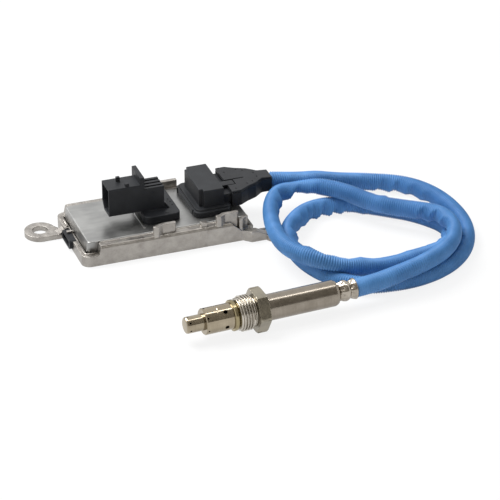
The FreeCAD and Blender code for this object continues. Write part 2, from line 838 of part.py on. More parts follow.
def bent_pins(name, places, side, tip, foot, height):
    """Row of square pins: level from the tip to the foot, then down through the board."""
    low, high = (tip, f"{foot} + {side} / 2")
    if value(tip) > value(foot):
        low, high = (f"{foot} - {side} / 2", tip)
    pins = []
    for number, place in enumerate(places, start=1):
        level = block(f"{name}_level_{number}", (low, high), centred(place, side), centred(height, side))
        down = block(f"{name}_down_{number}", centred(foot, side), centred(place, side),
                     (f"{board_bottom} - pin_tail", f"{height} + {side} / 2"))
        pins.append(join(f"{name}_pin_{number}", [level, down]))
    return group(name, pins)


vehicle_pins = bent_pins("vehicle_header_pins", vehicle_pin_places, "vehicle_pin_side",
                         on_vehicle_header("socket_start + vehicle_pin_recess"), vehicle_foot_x,
                         "vehicle_pin_height")
sensor_pins = bent_pins("sensor_header_pins", sensor_pin_places, "sensor_pin_side",
                        on_sensor_header("sensor_block_start + sensor_block_length + sensor_pin_reach"),
                        sensor_foot_x, neck_middle)

# Circuit board with drilled holes for the screws and the pins
board_blank = block("board_blank", board_x, board_y, (board_bottom, board_top))
board_holes = []
for number, (across, along) in enumerate(screw_places, start=1):
    board_holes.append(cylinder(f"board_screw_hole_{number}", "screw_radius + board_hole_gap",
                                "board_thickness + 2 * overrun",
                                (across, along, f"{board_bottom} - overrun")))
for number, place in enumerate(vehicle_pin_places, start=1):
    board_holes.append(cylinder(f"vehicle_pin_hole_{number}", "vehicle_pin_side / sqrt(2) + pin_hole_gap",
                                "board_thickness + 2 * overrun",
                                (vehicle_foot_x, place, f"{board_bottom} - overrun")))
for number, place in enumerate(sensor_pin_places, start=1):
    board_holes.append(cylinder(f"sensor_pin_hole_{number}", "sensor_pin_side / sqrt(2) + pin_hole_gap",
                                "board_thickness + 2 * overrun",
                                (sensor_foot_x, place, f"{board_bottom} - overrun")))
board = cut("circuit_board", board_blank, join("board_drillings", board_holes))

screws = []
for number, (across, along) in enumerate(screw_places, start=1):
    shank = cylinder(f"screw_shank_{number}", "screw_radius", "screw_depth - screw_end_gap + board_thickness",
                     (across, along, f"{board_bottom} - screw_depth + screw_end_gap"))
    head = cylinder(f"screw_head_{number}", "screw_head_radius", "screw_head_height",
                    (across, along, board_top))
    screws.append(join(f"screw_{number}", [shank, head]))
board_screws = group("board_screws", screws)

controller_chip = block("controller_chip", centred(from_left("chip_x"), "chip_side"),
                        centred("0", "chip_side"),
                        (board_top, f"{board_top} + chip_height"))
power_chips = group("power_chips", [
    block(f"power_chip_{number}", centred(carried("power_chip_x", "power_chip_x"), "power_chip_side"),
          centred(f"power_chip_pitch * {number - 2}", "power_chip_side"),
          (board_top, f"{board_top} + power_chip_height"))
    for number in (1, 2, 3)
])
capacitors = group("capacitors", [
    cylinder(f"capacitor_{number}", "capacitor_radius", "capacitor_height",
             (carried(across, across), deep, board_top))
    for number, (across, deep) in enumerate((
        ("middle_capacitor_x", f"{board_y[1]} - capacitor_edge"),
        ("end_capacitor_x", "capacitor_pitch"),
        ("end_capacitor_x", "-capacitor_pitch"),
    ), start=1)
])
thermal_pad = block("thermal_pad", centred(carried("power_chip_x", "power_chip_x"), "pad_length"),
                    centred("0", "pad_width"),
                    ("floor_thickness", board_bottom))

# Vehicle header: moulded black plastic, an open socket on a block with a cover flange
vehicle = new_body("vehicle_header_moulding")
vehicle_x = (on_vehicle_header("vehicle_base_start"),
             on_vehicle_header("vehicle_base_start + vehicle_base_length"))
vehicle_y = centred("vehicle_base_centre", "vehicle_base_width")
base_top = "lid_height + vehicle_base_height"
pad(vehicle, "vehicle_base",
    outline(vehicle, "vehicle_base_plan", "XY_Plane", rectangle(vehicle_x, vehicle_y),
                                     "lid_height"), "vehicle_base_height")
dress(vehicle, "Fillet", "vehicle_base_corners", "vehicle_base_corner", upright)
dress(vehicle, "Fillet", "vehicle_base_rim", "plastic_edge", lambda edge: level_at(edge, value(base_top)))
socket_y = centred("socket_centre", "socket_width")
collar_x = (on_vehicle_header("socket_start + socket_length"),
            on_vehicle_header("socket_start + socket_length + collar_thickness"))
tower_x = (collar_x[0], f"{collar_x[1]} + tower_length")
pad(vehicle, "tower",
    outline(vehicle, "tower_plan", "XY_Plane", rectangle(tower_x, socket_y), f"{base_top} - bury"),
    "tower_top - lid_height - vehicle_base_height + bury")


def tower_foot_edge(edge):
    box = edge.BoundBox
    at_back = near(box.XMin, value(tower_x[1])) and near(box.XMax, value(tower_x[1]))
    return at_back and level_at(edge, value(base_top))


dress(vehicle, "Fillet", "tower_foot", "tower_foot", tower_foot_edge)
GROOVES = 4
for number in range(GROOVES):
    groove_y = centred(f"socket_centre + groove_pitch * {number - GROOVES // 2 + 1} + groove_shift",
                       "groove_width")
    groove_plan = rectangle((f"{collar_x[1]} + groove_land", f"{tower_x[1]} + overrun"), groove_y)
    pocket(vehicle, f"tower_groove_{number + 1}",
           outline(vehicle, f"tower_groove_{number + 1}_plan", "XY_Plane", groove_plan,
                   "tower_top"), "groove_depth")
collar_y = (socket_y[0], f"{socket_y[1]} + collar_extra")
pad(vehicle, "collar",
    outline(vehicle, "collar_plan", "XY_Plane", rectangle(collar_x, collar_y), f"{base_top} - bury"),
    "collar_top - lid_height - vehicle_base_height + bury")
socket_section = [
    (socket_y[0], "socket_bottom"),
    (f"{socket_y[1]} - socket_key", "socket_bottom"),
    (socket_y[1], "socket_bottom + socket_key_rise"),
    (socket_y[1], "socket_top"),
    (socket_y[0], "socket_top"),
]
pad(vehicle, "socket",
    outline(vehicle, "socket_section", "YZ_Plane", socket_section, on_vehicle_header("socket_start")),
    "socket_length + bury")


def outer_socket_edge(edge):
    box = edge.BoundBox
    return near(box.XMin,
                value(on_vehicle_header("socket_start"))) and box.XLength > value("socket_length / 2")


dress(vehicle, "Fillet", "socket_edges", "plastic_edge", outer_socket_edge)
mouth_section = [
    (f"{socket_y[0]} + socket_wall", "socket_bottom + socket_wall"),
    (f"{socket_y[1]} - socket_key - key_wall_shift", "socket_bottom + socket_wall"),
    (f"{socket_y[1]} - socket_wall", "socket_bottom + socket_key_rise + key_wall_shift"),
    (f"{socket_y[1]} - socket_wall", "socket_top - socket_wall"),
    (f"{socket_y[0]} + socket_wall", "socket_top - socket_wall"),
]
pocket(vehicle, "mouth",
       outline(vehicle, "mouth_section", "YZ_Plane", mouth_section, on_vehicle_header("socket_start")),
       "socket_depth", backwards=True)
peg_plan = rectangle(centred(on_vehicle_header("back_peg_x"), "peg_length"),
                     centred(f"{socket_y[1]} - back_peg_inset", "peg_width"))
pad(vehicle, "back_peg", outline(vehicle, "back_peg_plan", "XY_Plane", peg_plan, "socket_top - bury"),
    "peg_rise + bury")
peg_plan = rectangle(centred(on_vehicle_header("front_peg_x"), "peg_length"),
                     centred(f"{socket_y[0]} + front_peg_inset", "peg_width"))
pad(vehicle, "front_peg", outline(vehicle, "front_peg_plan", "XY_Plane", peg_plan, "socket_top - bury"),
    "low_peg_rise + bury")
vehicle_boss = rectangle(centred(vehicle_mid_x, "boss_length"), centred("socket_centre", "boss_width"))
pad(vehicle, "vehicle_boss",
    outline(vehicle, "vehicle_boss_plan", "XY_Plane", vehicle_boss, "lid_height - lid_wall"),
    "lid_wall + bury")


def gasket_pair(name, body, x_span, y_span):
    """Groove under a header's flange and the rubber gasket that fills it."""
    outer = [(f"{low} + gasket_inset", f"{high} - gasket_inset") for low, high in (x_span, y_span)]
    inner = [(f"{low} + gasket_width", f"{high} - gasket_width") for low, high in outer]
    span = ("lid_height", "lid_height + gasket_thickness")
    rubber = cut(name, block(f"{name}_outside", outer[0], outer[1], span),
                 block(f"{name}_inside", inner[0], inner[1],
                       ("lid_height - overrun", "lid_height + gasket_thickness + overrun")))
    return cut(f"{name}_seat", body, rubber), rubber


vehicle_with_seat, vehicle_gasket = gasket_pair("vehicle_header_seal", vehicle, vehicle_x, vehicle_y)
vehicle_header = cut("vehicle_header", vehicle_with_seat, vehicle_pins)

# Sensor header: moulded black plastic, a two-step base, a block and a flat neck for the plug
sensor = new_body("sensor_header_moulding")
sensor_x = (on_sensor_header("sensor_base_start"), on_sensor_header("sensor_base_start + sensor_base_length"))
sensor_y = centred("sensor_base_centre", "sensor_base_width")
pad(sensor, "sensor_base",
    outline(sensor, "sensor_base_plan", "XY_Plane", rectangle(sensor_x, sensor_y), "lid_height"),
    "sensor_base_height")
dress(sensor, "Fillet", "sensor_base_corners", "sensor_base_corner", upright)
dress(sensor, "Fillet", "sensor_base_rim", "plastic_edge",
      lambda edge: level_at(edge, value("lid_height + sensor_base_height")))
tier_x = (f"{sensor_x[0]} + sensor_tier_inset", f"{sensor_x[1]} - sensor_tier_back")
tier_y = (f"{sensor_y[0]} + sensor_tier_inset", f"{sensor_y[1]} - sensor_tier_inset")
tier_top = "lid_height + sensor_base_height + sensor_tier_height"
tier = new_body("sensor_tier_body")
pad(tier, "sensor_tier", outline(tier, "sensor_tier_plan", "XY_Plane", rectangle(tier_x, tier_y),
                                 "lid_height + sensor_base_height - bury"),
    "sensor_tier_height + bury")
dress(tier, "Fillet", "sensor_tier_corners", "sensor_base_corner - sensor_tier_inset", upright)
dress(tier, "Fillet", "sensor_tier_rim", "tier_edge", lambda edge: level_at(edge, value(tier_top)))
notch_sides = (f"{sensor_y[0]} + sensor_base_corner",
               f"{sensor_y[1]} - sensor_base_corner - base_notch_width")
for number, side in enumerate(notch_sides, start=1):
    notch = rectangle((f"{sensor_x[0]} - overrun", f"{sensor_x[0]} + base_notch_depth"),
                      (side, f"{side} + base_notch_width"))
    pocket(sensor, f"base_notch_{number}",
           outline(sensor, f"base_notch_{number}_plan", "XY_Plane", notch,
                   "lid_height + sensor_base_height + overrun"),
           "sensor_base_height + 2 * overrun")
block_x = (on_sensor_header("sensor_block_start"),
           on_sensor_header("sensor_block_start + sensor_block_length"))
block_y = centred("sensor_base_centre", "sensor_block_width")
step_x = f"{block_x[0]} - sensor_step"
step_y = (f"{block_y[0]} + sensor_step_inset", f"{block_y[1]} - sensor_step_inset")
block_plan = [
    (block_x[0], block_y[0]),
    (block_x[1], block_y[0]),
    (block_x[1], block_y[1]),
    (block_x[0], block_y[1]),
    (block_x[0], step_y[1]),
    (step_x, step_y[1]),
    (step_x, step_y[0]),
    (block_x[0], step_y[0]),
]
pad(sensor, "sensor_block",
    outline(sensor, "sensor_block_plan", "XY_Plane", block_plan, "lid_height + overrun"),
    "sensor_block_top - lid_height - overrun")
dress(sensor, "Fillet", "sensor_block_rim", "plastic_edge",
      lambda edge: level_at(edge, value("sensor_block_top")))
neck_y = centred("sensor_base_centre", "neck_width")
neck_end = f"{block_x[1]} + neck_reach"
pad(sensor, "neck",
    outline(sensor, "neck_section", "YZ_Plane", rectangle(neck_y, ("neck_bottom", "neck_top")),
                            f"{block_x[1]} - bury"), "neck_reach + bury")
neck_hollow_y = (f"{neck_y[0]} + neck_wall", f"{neck_y[1]} - neck_wall")
neck_hollow_z = ("neck_bottom + neck_wall", "neck_top - neck_wall")
pocket(sensor, "neck_hollow",
       outline(sensor, "neck_hollow_section", "YZ_Plane", rectangle(neck_hollow_y, neck_hollow_z),
               f"{block_x[1]} + neck_root"),
       "neck_reach", backwards=True)
sensor_boss = rectangle(centred(sensor_foot_x, "sensor_boss_length"),
                        centred(sensor_mid_y, "sensor_boss_width"))
pad(sensor, "sensor_boss",
    outline(sensor, "sensor_boss_plan", "XY_Plane", sensor_boss, "lid_height - lid_wall"),
    "lid_wall + bury")
sensor_whole = join("sensor_header_whole", [sensor, tier])
sensor_with_seat, sensor_gasket = gasket_pair("sensor_header_seal", sensor_whole, sensor_x, sensor_y)
sensor_header = cut("sensor_header", sensor_with_seat, sensor_pins)

# Plug: a moulded shell with tapering shoulders, closed by a cover plate and held by a latch
plug = new_body("plug_moulding")
plug_mid_y = "sensor_base_centre"
half_outline = [
    ("plug_start", "plug_half_width"),
    ("plug_shoulder", "plug_half_width"),
    ("plug_waist", "plug_waist_half"),
    ("plug_step", "plug_step_half"),
    ("plug_tail", "plug_tail_half"),
    ("plug_end", "plug_tail_half"),
]
plug_plan = [(on_sensor_header(along), f"{plug_mid_y} - {half}") for along, half in half_outline]
plug_plan += [(on_sensor_header(along), f"{plug_mid_y} + {half}") for along, half in reversed(half_outline)]
pad(plug, "plug_block", outline(plug, "plug_plan", "XY_Plane", plug_plan, "plug_bottom"),
    "plug_top - plug_bottom - cover_thickness")


def shoulder_edge(edge):
    first = value(on_sensor_header("plug_start + overrun"))
    last = value(on_sensor_header("plug_end - overrun"))
    return upright(edge) and first < edge.CenterOfMass.x < last


dress(plug, "Fillet", "plug_shoulders", "plug_corner", shoulder_edge)
dress(plug, "Fillet", "plug_foot_rim", "plastic_edge", lambda edge: level_at(edge, value("plug_bottom")))
neck_room_y = (f"{neck_y[0]} - plug_gap", f"{neck_y[1]} + plug_gap")
neck_room_z = ("neck_bottom - plug_gap", "neck_top + plug_gap")
core_y = (f"{neck_hollow_y[0]} + plug_gap", f"{neck_hollow_y[1]} - plug_gap")
core_z = (f"{neck_hollow_z[0]} + plug_gap", f"{neck_hollow_z[1]} - plug_gap")
neck_room_end = f"{neck_end} + plug_seal_thickness"
neck_room = block("neck_room", (on_sensor_header("plug_start - overrun"), neck_room_end), neck_room_y,
                  neck_room_z)
core_solid = block("core_solid",
                   (on_sensor_header("plug_start + core_setback"),
                    f"{neck_room_end} + overrun"), core_y, core_z)
neck_ring_room = cut("neck_ring_room", neck_room, core_solid)
terminal_start = f"{block_x[1]} + sensor_pin_reach - terminal_grip"
terminal_end = f"{neck_room_end} + terminal_tail"
pin_slot = "sensor_pin_side + 2 * pin_room_gap"
terminal_bore = "sensor_pin_side + 2 * pin_slide"
terminal_side = f"{terminal_bore} + 2 * terminal_wall"
pin_room = [
    block(f"pin_room_{number}", (on_sensor_header("plug_start - overrun"), terminal_start),
          centred(place, pin_slot), centred(neck_middle, pin_slot))
    for number, place in enumerate(sensor_pin_places, start=1)
]
terminals_outer = [
    block(f"terminal_outer_{number}", (terminal_start, terminal_end), centred(place, terminal_side),
          centred(neck_middle, terminal_side))
    for number, place in enumerate(sensor_pin_places, start=1)
]
terminals_bore = [
    block(f"terminal_bore_{number}",
          (f"{terminal_start} - overrun", f"{terminal_start} + terminal_grip + terminal_end_room"),
          centred(place, terminal_bore), centred(neck_middle, terminal_bore))
    for number, place in enumerate(sensor_pin_places, start=1)
]
plug_terminals = group("plug_terminals", [
    cut(f"terminal_{number}", outer, bore)
    for number, (outer, bore) in enumerate(zip(terminals_outer, terminals_bore), start=1)
])
terminal_room = [
    block(f"terminal_room_{number}", (terminal_start, terminal_end), centred(place, terminal_side),
          centred(neck_middle, terminal_side))
    for number, place in enumerate(sensor_pin_places, start=1)
]
cable_z = "cable_exit_height"
along_x = Rotation(Vector(0, 1, 0), 90)
lead_room = block("lead_room", (f"{terminal_end} - room_overlap", on_sensor_header("plug_tail")),
                  centred(plug_mid_y, "wire_pitch * sensor_pin_count + lead_room_play"),
                  ("plug_bottom + plug_wall", "plug_top - cover_thickness"))
wide_lead_room = block("wide_lead_room",
                       (f"{terminal_end} - room_overlap", on_sensor_header("plug_step - wide_room_end")),
                       centred(plug_mid_y, "sensor_pin_pitch * (sensor_pin_count - 2)"),
                       ("plug_bottom + plug_wall", "plug_top - cover_thickness"))
grommet_start = on_sensor_header("plug_end - grommet_length")
grommet_room = cylinder("grommet_room", "grommet_radius", "grommet_length + 2 * overrun",
                        (f"{grommet_start} - overrun", plug_mid_y, cable_z), along_x)
latch_y = centred(f"{plug_mid_y} + latch_offset", "latch_width")
latch_x = (f"{block_x[1]} + latch_setback", f"{block_x[1]} + latch_setback + latch_length")
latch_z = ("plug_top - cover_thickness", "plug_top - cover_thickness + latch_thickness")
plug_housing = cut("plug_housing", plug,
                   join("plug_rooms", [neck_ring_room, lead_room, wide_lead_room, grommet_room]
                                              + pin_room + terminal_room))

# Cover plate of the plug, with the latch's slots and a row of small dimples near its rim
cover = new_body("plug_cover_moulding")
pad(cover, "cover_plate", outline(cover, "cover_plan", "XY_Plane", plug_plan, "plug_top - cover_thickness"),
    "cover_thickness")
dress(cover, "Fillet", "cover_shoulders", "plug_corner", shoulder_edge)
end_slope = [
    (on_sensor_header("plug_tail - slope_lead"), "plug_top"),
    (on_sensor_header("plug_end + overrun"), "plug_top - plug_end_drop"),
    (on_sensor_header("plug_end + overrun"), "plug_top + overrun"),
    (on_sensor_header("plug_tail - slope_lead"), "plug_top + overrun"),
]
pocket(cover, "cover_end_slope",
       outline(cover, "cover_end_slope_side", "XZ_Plane", end_slope,
               f"-({plug_mid_y} + plug_half_width + overrun)"),
       "2 * plug_half_width + 2 * overrun", backwards=True)
dress(cover, "Fillet", "cover_rim", "plastic_edge", lambda edge: level_at(edge, value("plug_top")))
latch_room = rectangle((on_sensor_header("plug_start - overrun"), f"{latch_x[1]} + latch_gap"),
                       (f"{latch_y[0]} - latch_gap", f"{latch_y[1]} + latch_gap"))
pocket(cover, "latch_room", outline(cover, "latch_room_plan", "XY_Plane", latch_room, "plug_top + overrun"),
       "cover_thickness + 2 * overrun")
slot = rectangle((on_sensor_header("plug_start - overrun"), on_sensor_header("plug_start + slot_length")),
                 (f"{latch_y[1]} + latch_gap - slot_overlap", f"{latch_y[1]} + 2 * latch_gap"))
pocket(cover, "long_slot", outline(cover, "long_slot_plan", "XY_Plane", slot, "plug_top + overrun"),
       "2 * overrun")
dimple_places = [
    ("95.9", "13.7"), ("105", "9.4"), ("108.2", "7.4"), ("113.2", "2.4"), ("113.6", "-2.6"),
    ("109.4", "-7.2"), ("105.5", "-8.8"), ("97.4", "-12.6"), ("97.3", "8"),
]
dimples = [
    cylinder(f"dimple_{number}", "dimple_radius", "dimple_depth + overrun",
             (on_sensor_header(along), f"{plug_mid_y} + {across}", "plug_top - dimple_depth"))
    for number, (along, across) in enumerate(dimple_places, start=1)
]
cover_room = cylinder("cover_lead_room", "grommet_radius", "grommet_length + 2 * overrun",
                      (f"{grommet_start} - overrun", plug_mid_y, cable_z), along_x)
plug_cover = cut("plug_cover", cover, join("cover_cuts", dimples + [cover_room]))

plug_latch = block("plug_latch", latch_x, latch_y, latch_z)
seal_x = (neck_end, neck_room_end)
plug_seal = cut("plug_seal",
                block("plug_seal_outside", seal_x, neck_room_y, neck_room_z),
                block("plug_seal_inside", (f"{seal_x[0]} - overrun", f"{seal_x[1]} + overrun"), core_y,
                      core_z))
grommet = cylinder("cable_grommet", "grommet_radius", "grommet_length",
                   (grommet_start, plug_mid_y, cable_z), along_x)
lead_places = [
    f"{plug_mid_y} + wire_pitch * {number - (sensor_pin_count - 1) / 2}"
    for number in range(sensor_pin_count)
]
plug_leads = group("plug_leads", [
    cylinder(f"lead_{number}", "wire_radius", f"({grommet_start}) - ({terminal_end})",
             (terminal_end, place, cable_z), along_x)
    for number, place in enumerate(lead_places, start=1)
])

# Vent: a black plastic frame in the end wall with a breathable film behind it
vent_z = ("vent_bottom", "vent_bottom + vent_height")
vent = new_body("vent_moulding")
vent_x = (f"{LEFT} - vent_proud", from_left("vent_depth"))
vent_clear_y = (f"{vent_y[0]} + vent_gap", f"{vent_y[1]} - vent_gap")
pad(vent, "vent_frame", outline(vent, "vent_section", "YZ_Plane", rectangle(vent_clear_y, vent_z), vent_x[0]),
    "vent_proud + vent_depth")


def along_the_vent(edge):
    box = edge.BoundBox
    return box.XLength > 1 and box.YLength < 0.01 and box.ZLength < 0.01


dress(vent, "Fillet", "vent_corners", "vent_round", along_the_vent)
recess = rectangle((f"{vent_clear_y[0]} + recess_inset", f"{vent_clear_y[1]} - recess_inset"),
                   (f"{vent_z[0]} + vent_wall", f"{vent_z[1]} - vent_wall"))
pocket(vent, "vent_recess", outline(vent, "vent_recess_section", "YZ_Plane", recess, vent_x[0]),
       "vent_proud + vent_depth - vent_back", backwards=True)
vent_mid_y = f"({vent_back} - vent_length / 2)"
vent_mid_z = "(vent_bottom + vent_height / 2)"
film = cylinder("vent_membrane", "vent_height / 2 - vent_wall - vent_gap", "membrane_thickness",
                (f"{vent_x[1]} - vent_back", vent_mid_y, vent_mid_z), along_x)
air_hole = cylinder("air_hole", "air_hole_radius", "vent_back + 2 * overrun",
                    (f"{vent_x[1]} - vent_back - overrun", vent_mid_y, vent_mid_z), along_x)
vent_housing = cut("vent_housing", vent, join("vent_cuts", [film, air_hole]))

# The tab cast on the case crosses the vent's top edge
tab_y = (f"{vent_y[0]} + tab_offset", f"{vent_y[0]} + tab_offset + tab_width")
tab = block("vent_tab", (f"{LEFT} - tab_reach", from_left("lid_left_margin")), tab_y,
            (vent_z[1], f"{vent_z[1]} + tab_height"))
tab_root = block("vent_tab_root", (from_left("vent_depth"), from_left("lid_left_margin")), tab_y,
                 ("ledge_height - overrun", f"{vent_z[1]} + tab_height"))
housing_body = cut("housing_body", join("housing_with_tab", [case, tab, tab_root] + cast_lugs),
                   cylinder("vent_bore", "air_hole_radius", "lid_left_margin + seat_width",
                            (from_left("vent_depth - bury"), vent_mid_y, vent_mid_z), along_x))

# Probe: turned and drawn pieces on one axis, lying with a flat of its nut on the ground
probe_place = Placement(
    Vector(value("probe_tip_x"), value("probe_tip_y"), value("nut_across_flats / 2")),
    Rotation(Vector(0, 0, 1), value("probe_yaw")),
)


def lay_probe(thing):
    """Moves a piece from the probe's own axis to where the probe lies."""
    thing.Placement = probe_place
    bind(thing, "Placement.Base.x", "probe_tip_x")
    bind(thing, "Placement.Base.y", "probe_tip_y")
    bind(thing, "Placement.Base.z", "nut_across_flats / 2")
    bind(thing, "Placement.Rotation.Angle", "probe_yaw")


def ring(start, end, inner, outer):
    return [(start, inner), (end, inner), (end, outer), (start, outer)]


def radial_holes(body, name, count, at, radius, reach, turn_by):
    """Holes through a tube's wall, evenly spaced about the probe's axis."""
    for number in range(count):
        angle = math.radians(360 / count * number + turn_by)
        sketch = body.newObject("Sketcher::SketchObject", f"{name}_{number + 1}_plan")
        middle = Vector(value(at), 0, 0)
        sketch.Placement = Placement(middle, Rotation(Vector(1, 0, 0), math.degrees(angle)))
        sketch.addGeometry(Part.Circle(Vector(0, 0, 0), Vector(0, 0, 1), value(radius)))
        constraint = sketch.addConstraint(Sketcher.Constraint("Radius", 0, value(radius)))
        bind(sketch, f"Constraints[{constraint}]", radius)
        bind(sketch, "Placement.Base.x", at)
        pocket(body, f"{name}_{number + 1}", sketch, reach, backwards=True)


# A corner drawn with one middle point passes this share of its radius inside the sharp corner
round_part = 1 - math.sqrt(0.5)

inner_shield = new_body("inner_shield")
revolve(inner_shield, "inner_tube", [
    ("0", "0"),
    ("0", "inner_shield_radius - shield_round"),
    (f"shield_round * {round_part}", f"inner_shield_radius - shield_round * {round_part}"),
    ("shield_round", "inner_shield_radius"),
    ("flange_start", "inner_shield_radius"),
    ("flange_start", "inner_shield_radius - inner_shield_wall"),
    ("shield_round", "inner_shield_radius - inner_shield_wall"),
    ("inner_shield_wall", "inner_shield_radius - shield_round"),
    ("inner_shield_wall", "0"),
])
HOLE_RING = 6
HOLE_RING_TURN = 50
radial_holes(inner_shield, "tip_hole", HOLE_RING, "tip_hole_at", "small_hole_radius",
             "inner_shield_radius + overrun", HOLE_RING_TURN)
lay_probe(inner_shield)

outer_shield = new_body("outer_shield")
revolve(outer_shield, "outer_tube", [
    ("outer_shield_start", "inner_shield_radius + shield_slide"),
    ("outer_shield_start", "outer_shield_radius - outer_shield_edge"),
    ("outer_shield_start + outer_shield_edge", "outer_shield_radius"),
    ("seam_at - seam_half", "outer_shield_radius"),
    ("seam_at", "outer_shield_radius - seam_depth"),
    ("seam_at + seam_half", "outer_shield_radius"),
    ("flange_start", "outer_shield_radius"),
    ("flange_start", "outer_shield_radius - outer_shield_wall"),
    ("outer_shield_start + 2 * outer_shield_lip", "outer_shield_radius - outer_shield_wall"),
    ("outer_shield_start + outer_shield_lip", "outer_shield_radius - outer_shield_wall - shield_fold"),
    ("outer_shield_start + outer_shield_lip", "inner_shield_radius + shield_slide"),
])
radial_holes(outer_shield, "front_hole", HOLE_RING, "outer_shield_start + front_hole_at", "small_hole_radius",
             "outer_shield_radius + overrun", HOLE_RING_TURN)
SIDE_HOLES = 5
radial_holes(outer_shield, "side_hole", SIDE_HOLES, "side_hole_at", "large_hole_radius",
             "outer_shield_radius + overrun", 180 / SIDE_HOLES)
lay_probe(outer_shield)

shell = new_body("probe_shell")
revolve(shell, "shell_turning", [
    ("flange_start", "inner_shield_radius - inner_shield_wall"),
    ("flange_start", "shell_radius + flange_rise - flange_edge"),
    ("flange_start + flange_edge", "shell_radius + flange_rise"),
    ("flange_end - flange_slope", "shell_radius + flange_rise"),
    ("flange_end", "shell_radius + flange_rise - flange_step"),
    ("flange_end", "shell_radius"),
    ("collar_end + sleeve_seat", "shell_radius"),
    ("collar_end + sleeve_seat", "shell_radius - shell_step"),
    ("shell_end", "shell_radius - shell_step"),
    ("shell_end", "ceramic_radius"),
    ("ceramic_start", "ceramic_radius"),
    ("ceramic_start", "inner_shield_radius - inner_shield_wall"),
])
lay_probe(shell)

nut = new_body("thread_nut")
flat = "nut_across_flats / 2"
tip_out = "nut_across_flats / 2 / cos(30)"
hexagon = [
    (tip_out, "0"),
    (f"{tip_out} / 2", flat),
    (f"-{tip_out} / 2", flat),
    (f"-{tip_out}", "0"),
    (f"-{tip_out} / 2", f"-{flat}"),
    (f"{tip_out} / 2", f"-{flat}"),
]
pad(nut, "nut_hexagon", outline(nut, "nut_section", "YZ_Plane", hexagon, "hex_start"), "hex_end - hex_start")
for name, face, outward, inward in (("front_chamfer", "hex_start", "-", "+"),
                                    ("back_chamfer", "hex_end", "+", "-")):
    groove(nut, name, [
        (f"{face} {outward} hex_corner", f"{flat} + hex_face_rise"),
        (face, f"{flat} + hex_face_rise"),
        (f"{face} {inward} hex_chamfer_run", f"{tip_out} + hex_clear"),
        (f"{face} {outward} hex_corner", f"{tip_out} + hex_clear"),
    ])
revolve(nut, "nut_shank", [
    ("flange_end + nut_gap", "shell_radius + nut_play"),
    ("flange_end + nut_gap", "shell_radius + thread_rise - thread_lead"),
    ("flange_end + nut_gap + thread_lead", "shell_radius + thread_rise"),
    ("thread_end", "shell_radius + thread_rise"),
    ("thread_end + thread_runout", "shell_radius + undercut_rise"),
    ("hex_start + bury", "shell_radius + undercut_rise"),
    ("hex_start + bury", "shell_radius + nut_play"),
])
groove(nut, "nut_bore", [
    ("flange_end", "0"),
    ("hex_end + overrun", "0"),
    ("hex_end + overrun", "shell_radius + nut_play"),
    ("flange_end", "shell_radius + nut_play"),
])
lay_probe(nut)

retainer = new_body("retaining_collar")
revolve(retainer, "collar_ring", [
    ("hex_end + nut_gap", "shell_radius"),
    ("hex_end + nut_gap", "shell_radius + collar_rise - collar_edge"),
    ("hex_end + nut_gap + collar_edge", "shell_radius + collar_rise"),
    ("collar_end", "shell_radius + collar_rise"),
    ("collar_end", "shell_radius"),
])
lay_probe(retainer)

sleeve = new_body("probe_sleeve")
sleeve_outer = "shell_radius + sleeve_lap"
sleeve_inner = f"{sleeve_outer} - sleeve_wall"
sleeve_mouth = f"{sleeve_outer} - sleeve_round"
revolve(sleeve, "sleeve_drawing", [
    ("collar_end", "shell_radius"),
    ("collar_end", sleeve_outer),
    ("sleeve_end - sleeve_round", sleeve_outer),
    (f"sleeve_end - sleeve_round * {round_part}", f"{sleeve_outer} - sleeve_round * {round_part}"),
    ("sleeve_end", sleeve_mouth),
    ("sleeve_end", "neck_radius"),
    ("sleeve_end - sleeve_wall", "neck_radius"),
    ("sleeve_end - sleeve_wall", sleeve_mouth),
    ("sleeve_end - sleeve_round", sleeve_inner),
    ("collar_end + sleeve_seat", sleeve_inner),
    ("collar_end + sleeve_seat", "shell_radius"),
])
lay_probe(sleeve)

ferrule = new_body("crimp_ferrule")
ferrule_inner = "cable_radius"
revolve(ferrule, "ferrule_turning", [
    ("sleeve_end - sleeve_wall - ferrule_lip", "neck_radius - ferrule_wall"),
    ("sleeve_end - sleeve_wall - ferrule_lip", sleeve_mouth),
    ("sleeve_end - sleeve_wall", sleeve_mouth),
    ("sleeve_end - sleeve_wall", "neck_radius"),
    ("first_crimp - 2 * crimp_run", "neck_radius"),
    ("first_crimp - crimp_run", "crimp_radius - crimp_round"),
    ("first_crimp", "crimp_radius"),
    ("first_crimp + crimp_run", "crimp_radius - crimp_round"),
    ("first_crimp + 2 * crimp_run", "crimp_valley + crimp_round"),
    ("first_crimp + 3 * crimp_run", "crimp_valley"),
    ("probe_length - 2 * crimp_run", "crimp_valley + crimp_round"),
    ("probe_length - crimp_run", "crimp_radius - crimp_round"),
    ("probe_length", "crimp_radius"),
    ("probe_length", ferrule_inner),
    ("sleeve_end + overrun", ferrule_inner),
])
lay_probe(ferrule)

grommet_end = "sleeve_end - sleeve_wall - ferrule_lip"
grommet_face = f"({grommet_end} - rear_grommet_gap - rear_grommet_length)"
rear_grommet = new_body("rear_grommet")
revolve(rear_grommet, "grommet_moulding", [
    (grommet_face, "0"),
    (grommet_face, f"{sleeve_inner} - shield_slide"),
    (f"{grommet_end} - rear_grommet_gap", f"{sleeve_inner} - shield_slide"),
    (f"{grommet_end} - rear_grommet_gap", "0"),
])
lay_probe(rear_grommet)

element = block("element_blank", ("element_start", "element_end"), centred("0", "element_width"),
                centred("0", "element_thickness"))
sensing_element = group("sensing_element", [element])
lay_probe(sensing_element)


